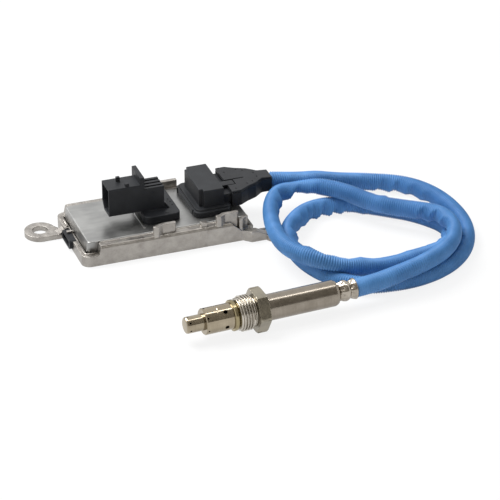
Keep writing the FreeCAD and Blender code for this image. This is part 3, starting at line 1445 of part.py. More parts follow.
def ceramic(name, start, end, radius):
    """Ceramic or packed disc with a slot that fits round the sensing element."""
    disc = cylinder(f"{name}_blank", radius, f"({end}) - ({start})", (start, "0", "0"), along_x)
    slot_room = block(f"{name}_slot", (f"{start} - overrun", f"{end} + overrun"),
                      centred("0", "element_width + slot_play"),
                      centred("0", "element_thickness + slot_play"))
    thing = cut(name, disc, slot_room)
    lay_probe(thing)
    return thing


front_bush = ceramic("front_ceramic", "ceramic_start", "talc_start", "ceramic_radius")
talc = ceramic("talc_packing", "talc_start", "rear_ceramic_start", "ceramic_radius")
rear_bush = ceramic("rear_ceramic", "rear_ceramic_start", "shell_end", "ceramic_radius")
contact_holder = ceramic("contact_holder", "shell_end", "element_end + holder_tail", "holder_radius")
bedding = new_body("bedding_sleeve")
revolve(bedding, "bedding_ring",
        ring("shell_end + bedding_gap", "element_end", "holder_radius", sleeve_inner))
lay_probe(bedding)

probe_leads = group("probe_leads", [
    cylinder(f"probe_lead_{number}", "wire_radius", f"{grommet_face} - element_end - holder_tail",
             ("element_end + holder_tail", f"lead_circle * cos({turn})",
              f"lead_circle * sin({turn})"), along_x)
    for number, turn in enumerate(range(0, 360, 360 // sensor_pin_count))
])
lay_probe(probe_leads)

# Cable: straight runs joined by tangent arcs, from the plug's tail to the probe's ferrule.
# The points are (x, y, height of the middle), chosen along the route.
probe_axis = probe_place.Rotation.multVec(Vector(1, 0, 0))
probe_rear = probe_place.Base + probe_axis * value("probe_length")
plug_rear = Vector(value(on_sensor_header("plug_end")), value(plug_mid_y), value(cable_z))
ROUTE = [
    (81.0, 1.6, 19.4),
    (97.0, 3.4, 15.0),
    (115.0, 4.4, 9.3),
    (134.0, 4.6, 5.7),
    (152.5, -3.3, 5.0),
    (164.2, -21.7, 5.0),
    (168.2, -42.8, 5.0),
    (167.1, -64.3, 5.0),
    (159.2, -84.3, 5.0),
    (144.4, -99.9, 5.0),
    (124.7, -108.7, 5.0),
    (103.2, -110.5, 5.0),
    (82.1, -105.4, 5.0),
    (70.5, -87.2, 5.0),
    (63.5, -66.8, 5.4),
    (62.1, -45.7, 9.2),
    (75.0, -28.2, 8.3),
    (90.8, -13.4, 5.4),
    (112.5, -15.2, 5.0),
    (130.2, -27.9, 5.0),
    (146.2, -42.1, 5.0),
    (155.9, -61.9, 5.0),
    (146.9, -81.9, 5.0),
    (125.8, -88.3, 5.0),
    (104.5, -91.2, 5.0),
    (84.4, -92.5, 10.6),
    (64.1, -88.4, 16.3),
    (51.4, -70.5, 15.7),
    (52.3, -48.7, 14.6),
    (58.5, -28.1, 14.6),
    (69.7, -9.4, 13.8),
    (91.2, -4.3, 13.4),
    (108.5, -17.3, 15.5),
    (121.7, -34.0, 12.7),
    (137.9, -47.9, 13.3),
    (153.3, -62.9, 15.6),
    (152.6, -84.9, 15.9),
    (139.1, -102.0, 15.3),
    (120.4, -112.6, 14.9),
    (104.0, -115.9, 13.0),
    (89.4, -116.8, 11.0),
]
route_points = [plug_rear] + [Vector(*point) for point in ROUTE] + [probe_rear]


def tangent_path(points):
    """Straight runs joined by tangent arcs, with the radius of every arc."""
    edges = []
    radii = []
    start = points[0]
    for before, corner, after in zip(points, points[1:], points[2:]):
        back = (before - corner).normalize()
        ahead = (after - corner).normalize()
        turn = math.pi - back.getAngle(ahead)
        reach = 0.45 * min(before.distanceToPoint(corner), after.distanceToPoint(corner))
        radius = reach / math.tan(turn / 2)
        inward = (back + ahead).normalize()
        first = corner + back * reach
        last = corner + ahead * reach
        middle = corner + inward * (math.hypot(radius, reach) - radius)
        edges.append(Part.LineSegment(start, first).toShape())
        edges.append(Part.Arc(first, middle, last).toShape())
        radii.append(radius)
        start = last
    edges.append(Part.LineSegment(start, points[-1]).toShape())
    return Part.Wire(edges), radii


cable_path, cable_radii = tangent_path(route_points)
radius = value("cable_radius")
first_run = route_points[1] - route_points[0]
section = Part.Wire([Part.makeCircle(radius, route_points[0], first_run)])
tube = cable_path.makePipeShell([section], True, False)
cable = doc.addObject("Part::Feature", "cable_sleeve")
cable.Shape = tube
print("cord radii:", ", ".join(f"{item:.1f}" for item in cable_radii))
print(f"cord length {cable_path.Length:.1f}, smallest radius {min(cable_radii):.1f}")
swept = math.pi * radius ** 2 * cable_path.Length
print(f"cord volume {abs(tube.Volume):.0f}, section times length {swept:.0f}")
if abs(abs(tube.Volume) / swept - 1) > 0.01:
    raise RuntimeError("the cord is not whole")

# Every finished piece under the name of its own file
pieces = {
    "housing_body": housing_body,
    "housing_lid": lid,
    "lid_seal": sealant,
    "circuit_board": board,
    "board_screws": board_screws,
    "controller_chip": controller_chip,
    "power_chips": power_chips,
    "capacitors": capacitors,
    "thermal_pad": thermal_pad,
    "vehicle_header": vehicle_header,
    "vehicle_header_pins": vehicle_pins,
    "vehicle_header_seal": vehicle_gasket,
    "sensor_header": sensor_header,
    "sensor_header_pins": sensor_pins,
    "sensor_header_seal": sensor_gasket,
    "plug_housing": plug_housing,
    "plug_cover": plug_cover,
    "plug_latch": plug_latch,
    "plug_seal": plug_seal,
    "plug_terminals": plug_terminals,
    "plug_leads": plug_leads,
    "cable_grommet": grommet,
    "vent_housing": vent_housing,
    "vent_membrane": film,
    "inner_shield": inner_shield,
    "outer_shield": outer_shield,
    "probe_shell": shell,
    "thread_nut": nut,
    "retaining_collar": retainer,
    "probe_sleeve": sleeve,
    "crimp_ferrule": ferrule,
    "rear_grommet": rear_grommet,
    "sensing_element": sensing_element,
    "front_ceramic": front_bush,
    "talc_packing": talc,
    "rear_ceramic": rear_bush,
    "contact_holder": contact_holder,
    "bedding_sleeve": bedding,
    "probe_leads": probe_leads,
    "cable_sleeve": cable,
}

doc.recompute()
for thing in doc.Objects:
    if "Invalid" in thing.State or "Error" in thing.State:
        raise RuntimeError(f"{thing.Name} is {thing.State}")
for name, thing in pieces.items():
    thing.Label = name
    if thing.Shape.isNull() or not thing.Shape.isValid() or not thing.Shape.Solids:
        raise RuntimeError(f"{name} has no sound shape")

os.makedirs("parts", exist_ok=True)
for name, thing in pieces.items():
    thing.Shape.exportStep(f"parts/{name}.step")
    print(f"{name}: {len(thing.Shape.Solids)} solids, {thing.Shape.Volume:.0f} cubic mm")
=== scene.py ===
import math

import bmesh
import bpy
import numpy as np
from mathutils import Matrix, Vector


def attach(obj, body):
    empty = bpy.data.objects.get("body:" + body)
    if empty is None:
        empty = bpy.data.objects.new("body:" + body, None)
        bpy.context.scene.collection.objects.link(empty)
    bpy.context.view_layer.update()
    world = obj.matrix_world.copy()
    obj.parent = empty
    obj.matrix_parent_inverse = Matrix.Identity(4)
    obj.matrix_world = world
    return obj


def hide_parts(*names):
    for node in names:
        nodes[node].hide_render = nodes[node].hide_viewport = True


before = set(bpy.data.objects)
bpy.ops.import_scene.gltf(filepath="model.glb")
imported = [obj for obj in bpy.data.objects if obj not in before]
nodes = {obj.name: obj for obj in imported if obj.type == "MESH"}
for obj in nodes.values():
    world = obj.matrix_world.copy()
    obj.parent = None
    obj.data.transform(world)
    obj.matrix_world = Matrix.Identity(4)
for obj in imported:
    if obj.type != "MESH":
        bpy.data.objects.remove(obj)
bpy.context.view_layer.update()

scene = bpy.context.scene
scene.view_settings.view_transform = "Standard"

# Camera: a long lens from the front left, looking down on the sensor.
# The picture is 500 by 500 pixels and the lens makes one radian 2864 of them.
PICTURE_WIDTH = 500
PIXELS_PER_RADIAN = 2864
SENSOR_WIDTH = 36.0
CAMERA_PLACE = (-0.4377, -1.3764, 0.8081)
CAMERA_LOOK = (0.2946, 0.8177, -0.4944)
camera_data = bpy.data.cameras.new("camera")
camera_data.sensor_width = SENSOR_WIDTH
camera_data.lens = PIXELS_PER_RADIAN / PICTURE_WIDTH * SENSOR_WIDTH
camera_data.clip_start = 0.1
camera_data.clip_end = 20
camera = bpy.data.objects.new("camera", camera_data)
scene.collection.objects.link(camera)
look = Vector(CAMERA_LOOK).normalized()
across = look.cross(Vector((0, 0, 1))).normalized()
above = across.cross(look)
camera.matrix_world = Matrix.Translation(CAMERA_PLACE) @ Matrix((across, above, -look)).transposed().to_4x4()
scene.camera = camera

# Floor: a wide flat sheet of matt white paper under the sensor.
# The camera and mirror-like metal see it nearly white, and it keeps a soft shadow.
FLOOR_HALF_WIDTH = 6.0
CAMERA_GLOW = 0.85
MIRROR_GLOW = 0.75


def linear(hex_colour):
    """An sRGB hex colour as linear red, green, blue and alpha."""
    channels = [int(hex_colour[start:start + 2], 16) / 255 for start in (1, 3, 5)]
    return [c / 12.92 if c <= 0.04045 else ((c + 0.055) / 1.055) ** 2.4 for c in channels] + [1.0]


def add(material, kind, inputs=(), **settings):
    """One node, with its settings, and each input given a number, a colour or another node's output."""
    node = material.node_tree.nodes.new(kind)
    for name, setting in settings.items():
        setattr(node, name, setting)
    for name, given in dict(inputs).items():
        if isinstance(given, bpy.types.NodeSocket):
            material.node_tree.links.new(given, node.inputs[name])
        else:
            node.inputs[name].default_value = given
    return node


paper = bpy.data.materials.new("white_paper")
paper.use_nodes = True
paper.node_tree.nodes.clear()
matt = add(paper, "ShaderNodeBsdfDiffuse", {"Color": linear("#f4f4f4")})
glow = add(paper, "ShaderNodeEmission", {"Color": linear("#ffffff"), "Strength": 1.0})
ray = add(paper, "ShaderNodeLightPath")
mirrored = add(paper, "ShaderNodeMath", {0: ray.outputs["Is Glossy Ray"], 1: MIRROR_GLOW},
               operation="MULTIPLY")
seen = add(paper, "ShaderNodeMath", {0: ray.outputs["Is Camera Ray"], 1: CAMERA_GLOW, 2: mirrored.outputs[0]},
           operation="MULTIPLY_ADD")
mixed = add(paper, "ShaderNodeMixShader", {0: seen.outputs[0], 1: matt.outputs[0], 2: glow.outputs[0]})
add(paper, "ShaderNodeOutputMaterial", {"Surface": mixed.outputs[0]})
floor_mesh = bmesh.new()
bmesh.ops.create_grid(floor_mesh, x_segments=1, y_segments=1, size=FLOOR_HALF_WIDTH)
floor_data = bpy.data.meshes.new("floor")
floor_mesh.to_mesh(floor_data)
floor_mesh.free()
floor_data.materials.append(paper)
floor = bpy.data.objects.new("floor", floor_data)
scene.collection.objects.link(floor)

# Room: the white walls of a studio, far away on all sides.
# They are white to the camera and to mirror-like metal, and give the sensor only a weak even light.
ROOM_LIGHT = 0.34
world = bpy.data.worlds.new("room")
world.use_nodes = True
world.node_tree.nodes.clear()
scene.world = world
ray = add(world, "ShaderNodeLightPath")
room = add(world, "ShaderNodeBackground", {"Color": linear("#ffffff"), "Strength": ROOM_LIGHT})
backdrop = add(world, "ShaderNodeBackground", {"Color": linear("#ffffff"), "Strength": 1.0})
direct = add(world, "ShaderNodeMath", {0: ray.outputs["Is Camera Ray"], 1: ray.outputs["Is Glossy Ray"]},
             operation="MAXIMUM")
mixed = add(world, "ShaderNodeMixShader", {0: direct.outputs[0], 1: room.outputs[0], 2: backdrop.outputs[0]})
add(world, "ShaderNodeOutputWorld", {"Surface": mixed.outputs[0]})

# Lamps: a broad soft one over the back left, a narrow strip straight above that draws the bright
# line along the probe, and a weak one at the front left.
AIM = Vector((0.03, -0.05, 0))
LAMPS = [
    # name, place, width, depth, watts
    ("broad_lamp", (-0.45, 0.5, 1.15), 0.9, 0.7, 20.0),
    ("strip_lamp", (0.38, 0.0, 1.2), 1.5, 0.11, 3.4),
    ("front_lamp", (-1.0, -1.0, 0.75), 0.4, 0.4, 1.4),
]
for name, place, width, depth, watts in LAMPS:
    lamp_data = bpy.data.lights.new(name, "AREA")
    lamp_data.shape = "RECTANGLE"
    lamp_data.size = width
    lamp_data.size_y = depth
    lamp_data.energy = watts
    lamp = bpy.data.objects.new(name, lamp_data)
    lamp.location = place
    if name != "strip_lamp":
        lamp.rotation_euler = (AIM - Vector(place)).to_track_quat("-Z", "Y").to_euler()
    scene.collection.objects.link(lamp)

# Grey card: it hangs over the front and gives polished metal its broad darker band.
# Only reflections see it, so it casts no shadow and never comes into a view.
CARD_MIDDLE = (0.33, -0.57, 0.70)
CARD_WIDTH = 2.6
CARD_LENGTH = 1.2
CARD_SLOPE = math.radians(48)


def principled(name, **inputs):
    """A new material and its shader, with the shader's own inputs set."""
    material = bpy.data.materials.new(name)
    material.use_nodes = True
    shader = material.node_tree.nodes["Principled BSDF"]
    for label, given in inputs.items():
        shader.inputs[label.replace("_", " ").title().replace("Ior", "IOR")].default_value = given
    return material, shader


grey_card = principled("grey_card", base_color=linear("#9c9891"), roughness=0.9)[0]
card_mesh = bmesh.new()
bmesh.ops.create_grid(card_mesh, x_segments=1, y_segments=1, size=0.5)
bmesh.ops.scale(card_mesh, vec=(CARD_WIDTH, CARD_LENGTH, 1), verts=card_mesh.verts)
bmesh.ops.transform(card_mesh, matrix=Matrix.Translation(CARD_MIDDLE) @ Matrix.Rotation(CARD_SLOPE, 4, "X"),
                    verts=card_mesh.verts)
card_data = bpy.data.meshes.new("grey_card")
card_mesh.to_mesh(card_data)
card_mesh.free()
card_data.materials.append(grey_card)
card = bpy.data.objects.new("grey_card", card_data)
scene.collection.objects.link(card)
card.visible_camera = False
card.visible_diffuse = False
card.visible_shadow = False

# Cable: a limp blue ribbed sleeve over the probe's wires, in two and a half loose turns.
# It leaves the plug level, drops to the floor, and ends in the probe's ferrule.
CABLE_ROUTE = [
    (0.0707, 0.0016, 0.0194),
    (0.0810, 0.0016, 0.0191),
    (0.0970, 0.0034, 0.0146),
    (0.1150, 0.0044, 0.0092),
    (0.1340, 0.0046, 0.0057),
    (0.1525, -0.0033, 0.0052),
    (0.1644, -0.0216, 0.0052),
    (0.1685, -0.0428, 0.0052),
    (0.1675, -0.0643, 0.0052),
    (0.1596, -0.0845, 0.0052),
    (0.1446, -0.1002, 0.0052),
    (0.1247, -0.1090, 0.0052),
    (0.1032, -0.1110, 0.0052),
    (0.0816, -0.1062, 0.0052),
    (0.0702, -0.0880, 0.0052),
    (0.0635, -0.0668, 0.0054),
    (0.0626, -0.0457, 0.0092),
    (0.0750, -0.0282, 0.0083),
    (0.0908, -0.0138, 0.0054),
    (0.1125, -0.0152, 0.0052),
    (0.1302, -0.0279, 0.0052),
    (0.1476, -0.0426, 0.0052),
    (0.1579, -0.0622, 0.0052),
    (0.1489, -0.0828, 0.0052),
    (0.1258, -0.0890, 0.0052),
    (0.1045, -0.0925, 0.0052),
    (0.0850, -0.0945, 0.0098),
    (0.0660, -0.0900, 0.0158),
    (0.0538, -0.0712, 0.0157),
    (0.0550, -0.0480, 0.0156),
    (0.0606, -0.0260, 0.0160),
    (0.0712, -0.0065, 0.0156),
    (0.0912, -0.0022, 0.0148),
    (0.1085, -0.0160, 0.0152),
    (0.1217, -0.0340, 0.0127),
    (0.1379, -0.0479, 0.0133),
    (0.1533, -0.0629, 0.0156),
    (0.1526, -0.0849, 0.0159),
    (0.1391, -0.1018, 0.0155),
    (0.1204, -0.1120, 0.0154),
    (0.1040, -0.1152, 0.0137),
    (0.0890, -0.1167, 0.0112),
    (0.0766, -0.1177, 0.0110),
]
SLEEVE_HALF_HEIGHT = 0.0050
SLEEVE_HALF_WIDTH = 0.0043
# The sleeve is fuller where it is pushed up to the ferrule, and drawn in at both mouths
END_HALF_HEIGHT = 0.0053
END_HALF_WIDTH = 0.0052
END_RUN = 0.030
END_FULLNESS = 0.6
MOUTH_RUN = 0.0009
MOUTH_SHARE = 0.78
# It flattens in sharp bends, whose sharpness is one over their radius in metres
SHARP_TURN = 45
BEND_FLATTENING = 0.13
# Its ribs are shallower in sharp bends and at the ferrule
RIB_PITCH = 0.00135
RIB_DEPTH = 0.00042
RIB_LOSS_IN_BENDS = 0.35
RIB_SHARE_AT_END = 0.3
RINGS_PER_RIB = 4
POINTS_ROUND = 28
# It swells and shrinks a little along its length
SWELLING = 0.025
SWELLING_SEED = 7
# Where two strands cross, each is squashed to the room that it has, down to a least share
NEXT_STRAND = 0.03
NO_STRAND_NEAR = 1.0
STRAND_STEP = 8
CONTACT_SHARE = 0.99
MOST_SQUASHED = 0.6
# Rings each way over which the sharpness of a bend, the squashing and the swelling are evened out
TURNING_REACH = 16
SQUASH_REACH = 14
SWELLING_REACH = 26
# Folds pushed up on the inside of the bends: distance along the cable, half length and height
FOLDS = [
    (0.0660, 0.0078, 0.0008), (0.0700, 0.0056, 0.0012), (0.0795, 0.0078, 0.0020), (0.0905, 0.0090, 0.0014),
    (0.1025, 0.0101, 0.0020), (0.1180, 0.0101, 0.0008), (0.1645, 0.0056, 0.0012), (0.1740, 0.0067, 0.0015),
    (0.1830, 0.0067, 0.0008), (0.3040, 0.0056, 0.0014), (0.3175, 0.0073, 0.0028), (0.3380, 0.0090, 0.0014),
    (0.3475, 0.0084, 0.0025), (0.3560, 0.0056, 0.0014), (0.3640, 0.0073, 0.0025), (0.3735, 0.0067, 0.0024),
    (0.3810, 0.0067, 0.0017), (0.3950, 0.0078, 0.0008), (0.4577, 0.0090, 0.0014), (0.4700, 0.0090, 0.0008),
    (0.4950, 0.0134, 0.0012), (0.5270, 0.0146, 0.0014), (0.5440, 0.0101, 0.0007), (0.5600, 0.0123, 0.0017),
    (0.6200, 0.0078, 0.0010), (0.6316, 0.0106, 0.0026), (0.6493, 0.0134, 0.0028), (0.6640, 0.0101, 0.0012),
    (0.7090, 0.0067, 0.0012), (0.7209, 0.0067, 0.0015), (0.7325, 0.0073, 0.0022), (0.7419, 0.0073, 0.0024),
    (0.7546, 0.0101, 0.0022), (0.7730, 0.0112, 0.0010),
]
# Folds stand at full height where the bend is at least this sharp
FOLDING_TURN = 8
# A fold's crest slants along the sleeve by this many metres at most, up or down
FOLD_SLANT = 0.0022
# It leans up where it faces the back and down where it faces the front, by this share
FOLD_LEAN = 0.55
# The hollow beside it is this share of its height, and its far side this share of its near side's length
FOLD_HOLLOW = 0.2
FOLD_STEEP = 0.6
# It dies out a little beyond the inner half of the sleeve
FOLD_SPREAD = 1.1
FOLD_WRAP = 0.35
MERGE_DISTANCE = 1e-7

route_data = bpy.data.curves.new("cable_route", "CURVE")
route_data.dimensions = "3D"
spline = route_data.splines.new("NURBS")
spline.points.add(len(CABLE_ROUTE) - 1)
for point, place in zip(spline.points, CABLE_ROUTE):
    point.co = (*place, 1)
spline.order_u = 3
spline.use_endpoint_u = True
spline.resolution_u = 24
route = bpy.data.objects.new("cable_route", route_data)
scene.collection.objects.link(route)
drawn = bpy.data.meshes.new_from_object(route)
line = np.array([vertex.co for vertex in drawn.vertices])
bpy.data.objects.remove(route)
bpy.data.meshes.remove(drawn)


def evenly(points, step):
    """The same line with its points a fixed step apart, and the distance gone at each."""
    gone = np.concatenate([[0], np.cumsum(np.linalg.norm(np.diff(points, axis=0), axis=1))])
    places = np.linspace(0, gone[-1], int(round(gone[-1] / step)) + 1)
    return np.stack([np.interp(places, gone, points[:, axis]) for axis in range(3)], axis=1), places


def smoothed(values, reach):
    """A running mean over the given number of points each way."""
    window = np.ones(2 * reach + 1) / (2 * reach + 1)
    padded = np.concatenate([np.repeat(values[:1], reach), values, np.repeat(values[-1:], reach)])
    return np.convolve(padded, window, "valid")


middle, gone = evenly(line, RIB_PITCH / RINGS_PER_RIB)
cable_length = gone[-1]
heading = np.gradient(middle, axis=0)
heading /= np.linalg.norm(heading, axis=1, keepdims=True)
side = np.cross(heading, (0, 0, 1))
side /= np.linalg.norm(side, axis=1, keepdims=True)
upward = np.cross(side, heading)
# How sharply the line turns to its right, one over metres
turning = smoothed(np.einsum("ij,ij->i", np.gradient(heading, axis=0), side) / gone[1], TURNING_REACH)

other_strand = middle[::STRAND_STEP]
room_here = np.empty(len(middle))
for index, place in enumerate(middle):
    distance = np.linalg.norm(other_strand - place, axis=1)
    distance[np.abs(gone[::STRAND_STEP] - gone[index]) < NEXT_STRAND] = NO_STRAND_NEAR
    room_here[index] = distance.min()
room_share = room_here / 2 / SLEEVE_HALF_HEIGHT * CONTACT_SHARE
squash = smoothed(np.clip(room_share, MOST_SQUASHED, 1.0), SQUASH_REACH)

random = np.random.default_rng(SWELLING_SEED)
wander = smoothed(random.normal(0, 1, len(middle)), SWELLING_REACH)
wander /= np.abs(wander).max()
bend = np.clip(np.abs(turning) / SHARP_TURN, 0, 1)
to_end = cable_length - gone
fuller = np.clip(1 - to_end / END_RUN, 0, 1) ** END_FULLNESS
half_height = SLEEVE_HALF_HEIGHT * squash * (1 - fuller) + END_HALF_HEIGHT * fuller
half_width = SLEEVE_HALF_WIDTH * (1 - BEND_FLATTENING * bend) * (1 - fuller) + END_HALF_WIDTH * fuller
mouth = np.clip(np.minimum(to_end, gone) / MOUTH_RUN, 0, 1)
swell = (1 + SWELLING * wander) * (MOUTH_SHARE + (1 - MOUTH_SHARE) * np.sqrt(mouth))
rib_here = RIB_DEPTH * (1 - RIB_LOSS_IN_BENDS * bend) * np.clip(to_end / END_RUN, RIB_SHARE_AT_END, 1)


def sleeve_skin(ring, angle):
    """A point of the sleeve's skin: a ribbed oval, with folds on the inside of its bends, above the floor."""
    radial = math.cos(angle) * side[ring] + math.sin(angle) * upward[ring]
    inward = side[ring] * max(-1.0, min(1.0, turning[ring] / FOLDING_TURN))
    towards = inward + upward[ring] * FOLD_LEAN * inward[1]
    facing = (float(radial @ towards) / FOLD_SPREAD + FOLD_WRAP) / (1 + FOLD_WRAP)
    bulge = 0.0
    if facing > 0:
        for at, half_length, height in FOLDS:
            share = (gone[ring] - at - FOLD_SLANT * math.sin(angle)) / half_length
            share = share / FOLD_STEEP if share > 0 else -share
            if share < 1:
                bulge += height * (1 - math.sin(math.pi * share / 2) - FOLD_HOLLOW)
        bulge *= min(1.0, facing)
    rib = rib_here[ring] * math.cos(2 * math.pi * ring / RINGS_PER_RIB)
    wide = half_width[ring] * swell[ring] + rib
    tall = half_height[ring] * swell[ring] + rib
    place = (middle[ring] + wide * math.cos(angle) * side[ring] + tall * math.sin(angle) * upward[ring]
             + bulge * towards)
    return place[0], place[1], max(place[2], 0.0)


def wrapped(last_ring, points_round, skin):
    """A flat grid wrapped into a closed tube, each point put where skin says for its ring and angle."""
    tube = bmesh.new()
    bmesh.ops.create_grid(tube, x_segments=last_ring, y_segments=points_round, size=0.5)
    for vertex in tube.verts:
        ring = int(round((vertex.co.x + 0.5) * last_ring))
        angle = 2 * math.pi * ((vertex.co.y + 0.5) % 1.0)
        vertex.co = skin(ring, angle)
    bmesh.ops.remove_doubles(tube, verts=tube.verts, dist=MERGE_DISTANCE)
    bmesh.ops.holes_fill(tube, edges=[edge for edge in tube.edges if edge.is_boundary], sides=0)
    bmesh.ops.recalc_face_normals(tube, faces=tube.faces)
    for face in tube.faces:
        face.smooth = len(face.verts) == 4
    return tube


def per_metre(millimetres):
    """A pattern's scale from its real size."""
    return 1000 / millimetres


def noise(material, coords, millimetres, detail):
    """Soft random clouds or grain of a real size, on the piece's own coordinates."""
    return add(material, "ShaderNodeTexNoise", {"Vector": coords.outputs["Object"],
                                                "Scale": per_metre(millimetres), "Detail": detail})


def two_shades(material, shader, pattern, dark, light, low=0.3, high=0.7):
    """Colours the shader from a pattern, between a dark and a light shade."""
    shade = add(material, "ShaderNodeValToRGB", {"Fac": pattern})
    shade.color_ramp.elements[0].position = low
    shade.color_ramp.elements[0].color = linear(dark)
    shade.color_ramp.elements[1].position = high
    shade.color_ramp.elements[1].color = linear(light)
    material.node_tree.links.new(shade.outputs["Color"], shader.inputs["Base Color"])


def raised(material, shader, pattern, strength, distance):
    """Fine relief from a pattern, its distance in metres."""
    bump = add(material, "ShaderNodeBump", {"Height": pattern, "Strength": strength, "Distance": distance})
    material.node_tree.links.new(bump.outputs["Normal"], shader.inputs["Normal"])


# Soft coloured plastic, satin: the eye sees an even blue, a little mottled where it was handled.
# Its grain is finer than a pixel, so it is drawn coarser.
sleeve_blue, shader = principled("blue_polymer_sleeve", roughness=0.5, specular_ior_level=0.35)
coords = add(sleeve_blue, "ShaderNodeTexCoord")
clouds = noise(sleeve_blue, coords, millimetres=11.1, detail=3.0)
two_shades(sleeve_blue, shader, clouds.outputs["Fac"], "#4479b1", "#568dc7")
grain = noise(sleeve_blue, coords, millimetres=0.667, detail=2.0)
raised(sleeve_blue, shader, grain.outputs["Fac"], strength=0.1, distance=0.0002)


def place_piece(name, mesh, material, body, node=None):
    """Makes an object of a bmesh, on its body, in place of its CAD node."""
    data = bpy.data.meshes.new(name)
    mesh.to_mesh(data)
    mesh.free()
    data.materials.append(material)
    piece = bpy.data.objects.new(name, data)
    scene.collection.objects.link(piece)
    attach(piece, body)
    if node:
        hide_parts(node)
    return piece


cable = place_piece("ribbed_sleeve", wrapped(len(middle) - 1, POINTS_ROUND, sleeve_skin), sleeve_blue,
                    "sensor_unit", "cable_sleeve")

# Case: one aluminium die casting, left as cast, with its walls, rails and ears in one.
# The CAD mesh is worn as it is; its sharp edges catch the light as small rounds.
CAST_ROUND = 0.0006
EDGE_SAMPLES = 6


def wear(material, *names):
    """Puts one material on the named CAD nodes."""
    for name in names:
        nodes[name].data.materials.clear()
        nodes[name].data.materials.append(material)


def rounded(material, shader, pattern, strength, distance, radius):
    """Fine relief from a pattern, on edges that look rounded by the given radius."""
    edge = add(material, "ShaderNodeBevel", {"Radius": radius}, samples=EDGE_SAMPLES)
    bump = add(material, "ShaderNodeBump", {"Height": pattern, "Strength": strength, "Distance": distance,
                                            "Normal": edge.outputs["Normal"]})
    material.node_tree.links.new(bump.outputs["Normal"], shader.inputs["Normal"])


def uneven_gloss(material, shader, pattern, low, high, smooth, rough):
    """Roughness that follows a pattern, from smooth where it is low to rough where it is high."""
    gloss = add(material, "ShaderNodeMapRange", {"Value": pattern, "From Min": low, "From Max": high,
                                                 "To Min": smooth, "To Max": rough})
    material.node_tree.links.new(gloss.outputs[0], shader.inputs["Roughness"])


# Cast aluminium: a warm grey metal with cloudy flow marks and a rough skin.
# The skin's grit is finer than a pixel, so it is drawn coarser.
cast, shader = principled("die_cast_aluminium", metallic=1.0, roughness=0.4)
coords = add(cast, "ShaderNodeTexCoord")
clouds = noise(cast, coords, millimetres=5.88, detail=7.0)
clouds.inputs["Roughness"].default_value = 0.7
two_shades(cast, shader, clouds.outputs["Fac"], "#8e8984", "#b3afa9", low=0.32)
grain = noise(cast, coords, millimetres=0.909, detail=5.0)
rounded(cast, shader, grain.outputs["Fac"], strength=0.5, distance=0.0004, radius=CAST_ROUND)
uneven_gloss(cast, shader, clouds.outputs["Fac"], low=0.3, high=0.7, smooth=0.28, rough=0.46)
wear(cast, "housing_body")

# Seams: the rails' inner edges are rolled over the lid's rim and hold it, as one rounded bead each.
# They close the groove between rail and lid.
SEAM_LOW, SEAM_HIGH = 0.0100, 0.0124
SEAM_INNER, SEAM_OUTER = 0.0214, 0.0234
SEAM_ROUND = 0.0007
SEAM_RUNS = [(-1, -0.0405, 0.0368), (1, -0.0450, 0.0450)]
JUST_BELOW = 1e-5


def bevelled(mesh, edges, width, segments):
    """Rounds the given edges."""
    bmesh.ops.bevel(mesh, geom=edges, offset=width, offset_type="OFFSET", segments=segments, profile=0.5,
                    affect="EDGES", clamp_overlap=False, material=-1)


def evened(piece):
    """Keeps the flat faces flat to the light beside their rounded edges."""
    modifier = piece.modifiers.new("flat_faces", "WEIGHTED_NORMAL")
    modifier.keep_sharp = False


seams = bmesh.new()
for which, start, end in SEAM_RUNS:
    bar = bmesh.ops.create_cube(seams, size=1)["verts"]
    bmesh.ops.scale(seams, vec=(end - start, SEAM_OUTER - SEAM_INNER, SEAM_HIGH - SEAM_LOW), verts=bar)
    bmesh.ops.translate(seams, vec=((start + end) / 2, which * (SEAM_INNER + SEAM_OUTER) / 2,
                                    (SEAM_LOW + SEAM_HIGH) / 2), verts=bar)
top_edges = [edge for edge in seams.edges
             if min(vertex.co.z for vertex in edge.verts) > SEAM_HIGH - JUST_BELOW]
bevelled(seams, top_edges, SEAM_ROUND, segments=3)
for face in seams.faces:
    face.smooth = True
evened(place_piece("rolled_seams", seams, cast, "sensor_unit"))

# Ledge bead: the casting has a thin raised bead on its left ledge, round the lid's corner.
# The vent interrupts it.
BEAD_RADIUS = 0.0006
BEAD_LEVEL = 0.0065
BEAD_SIDES = 12
BEADS = {
    "back_ledge_bead": [(-0.0495, 0.0225), (-0.0495, 0.0180), (-0.0495, 0.0102)],
    "front_ledge_bead": [(-0.0495, -0.0084), (-0.0495, -0.0180), (-0.0495, -0.0224), (-0.0493, -0.0234),
                         (-0.0487, -0.0241), (-0.0477, -0.0245), (-0.0466, -0.0246), (-0.0430, -0.0246)],
}


def bead_along(corners):
    """A thin round bead along the given corners."""
    path = np.array([(*corner, BEAD_LEVEL) for corner in corners])
    ahead = np.gradient(path, axis=0)
    ahead /= np.linalg.norm(ahead, axis=1, keepdims=True)
    outward = np.cross(ahead, (0, 0, 1))

    def skin(ring, angle):
        around = math.cos(angle) * outward[ring] + np.array((0, 0, math.sin(angle)))
        return path[ring] + BEAD_RADIUS * around

    return wrapped(len(path) - 1, BEAD_SIDES, skin)


for name, corners in BEADS.items():
    place_piece(name, bead_along(corners), cast, "sensor_unit")

# Lid: a shallow pan pressed from aluminium sheet, held by the rolled seams.
# It is smoother than the casting, clear enough to show the socket over it.
LID_ROUND = 0.0003
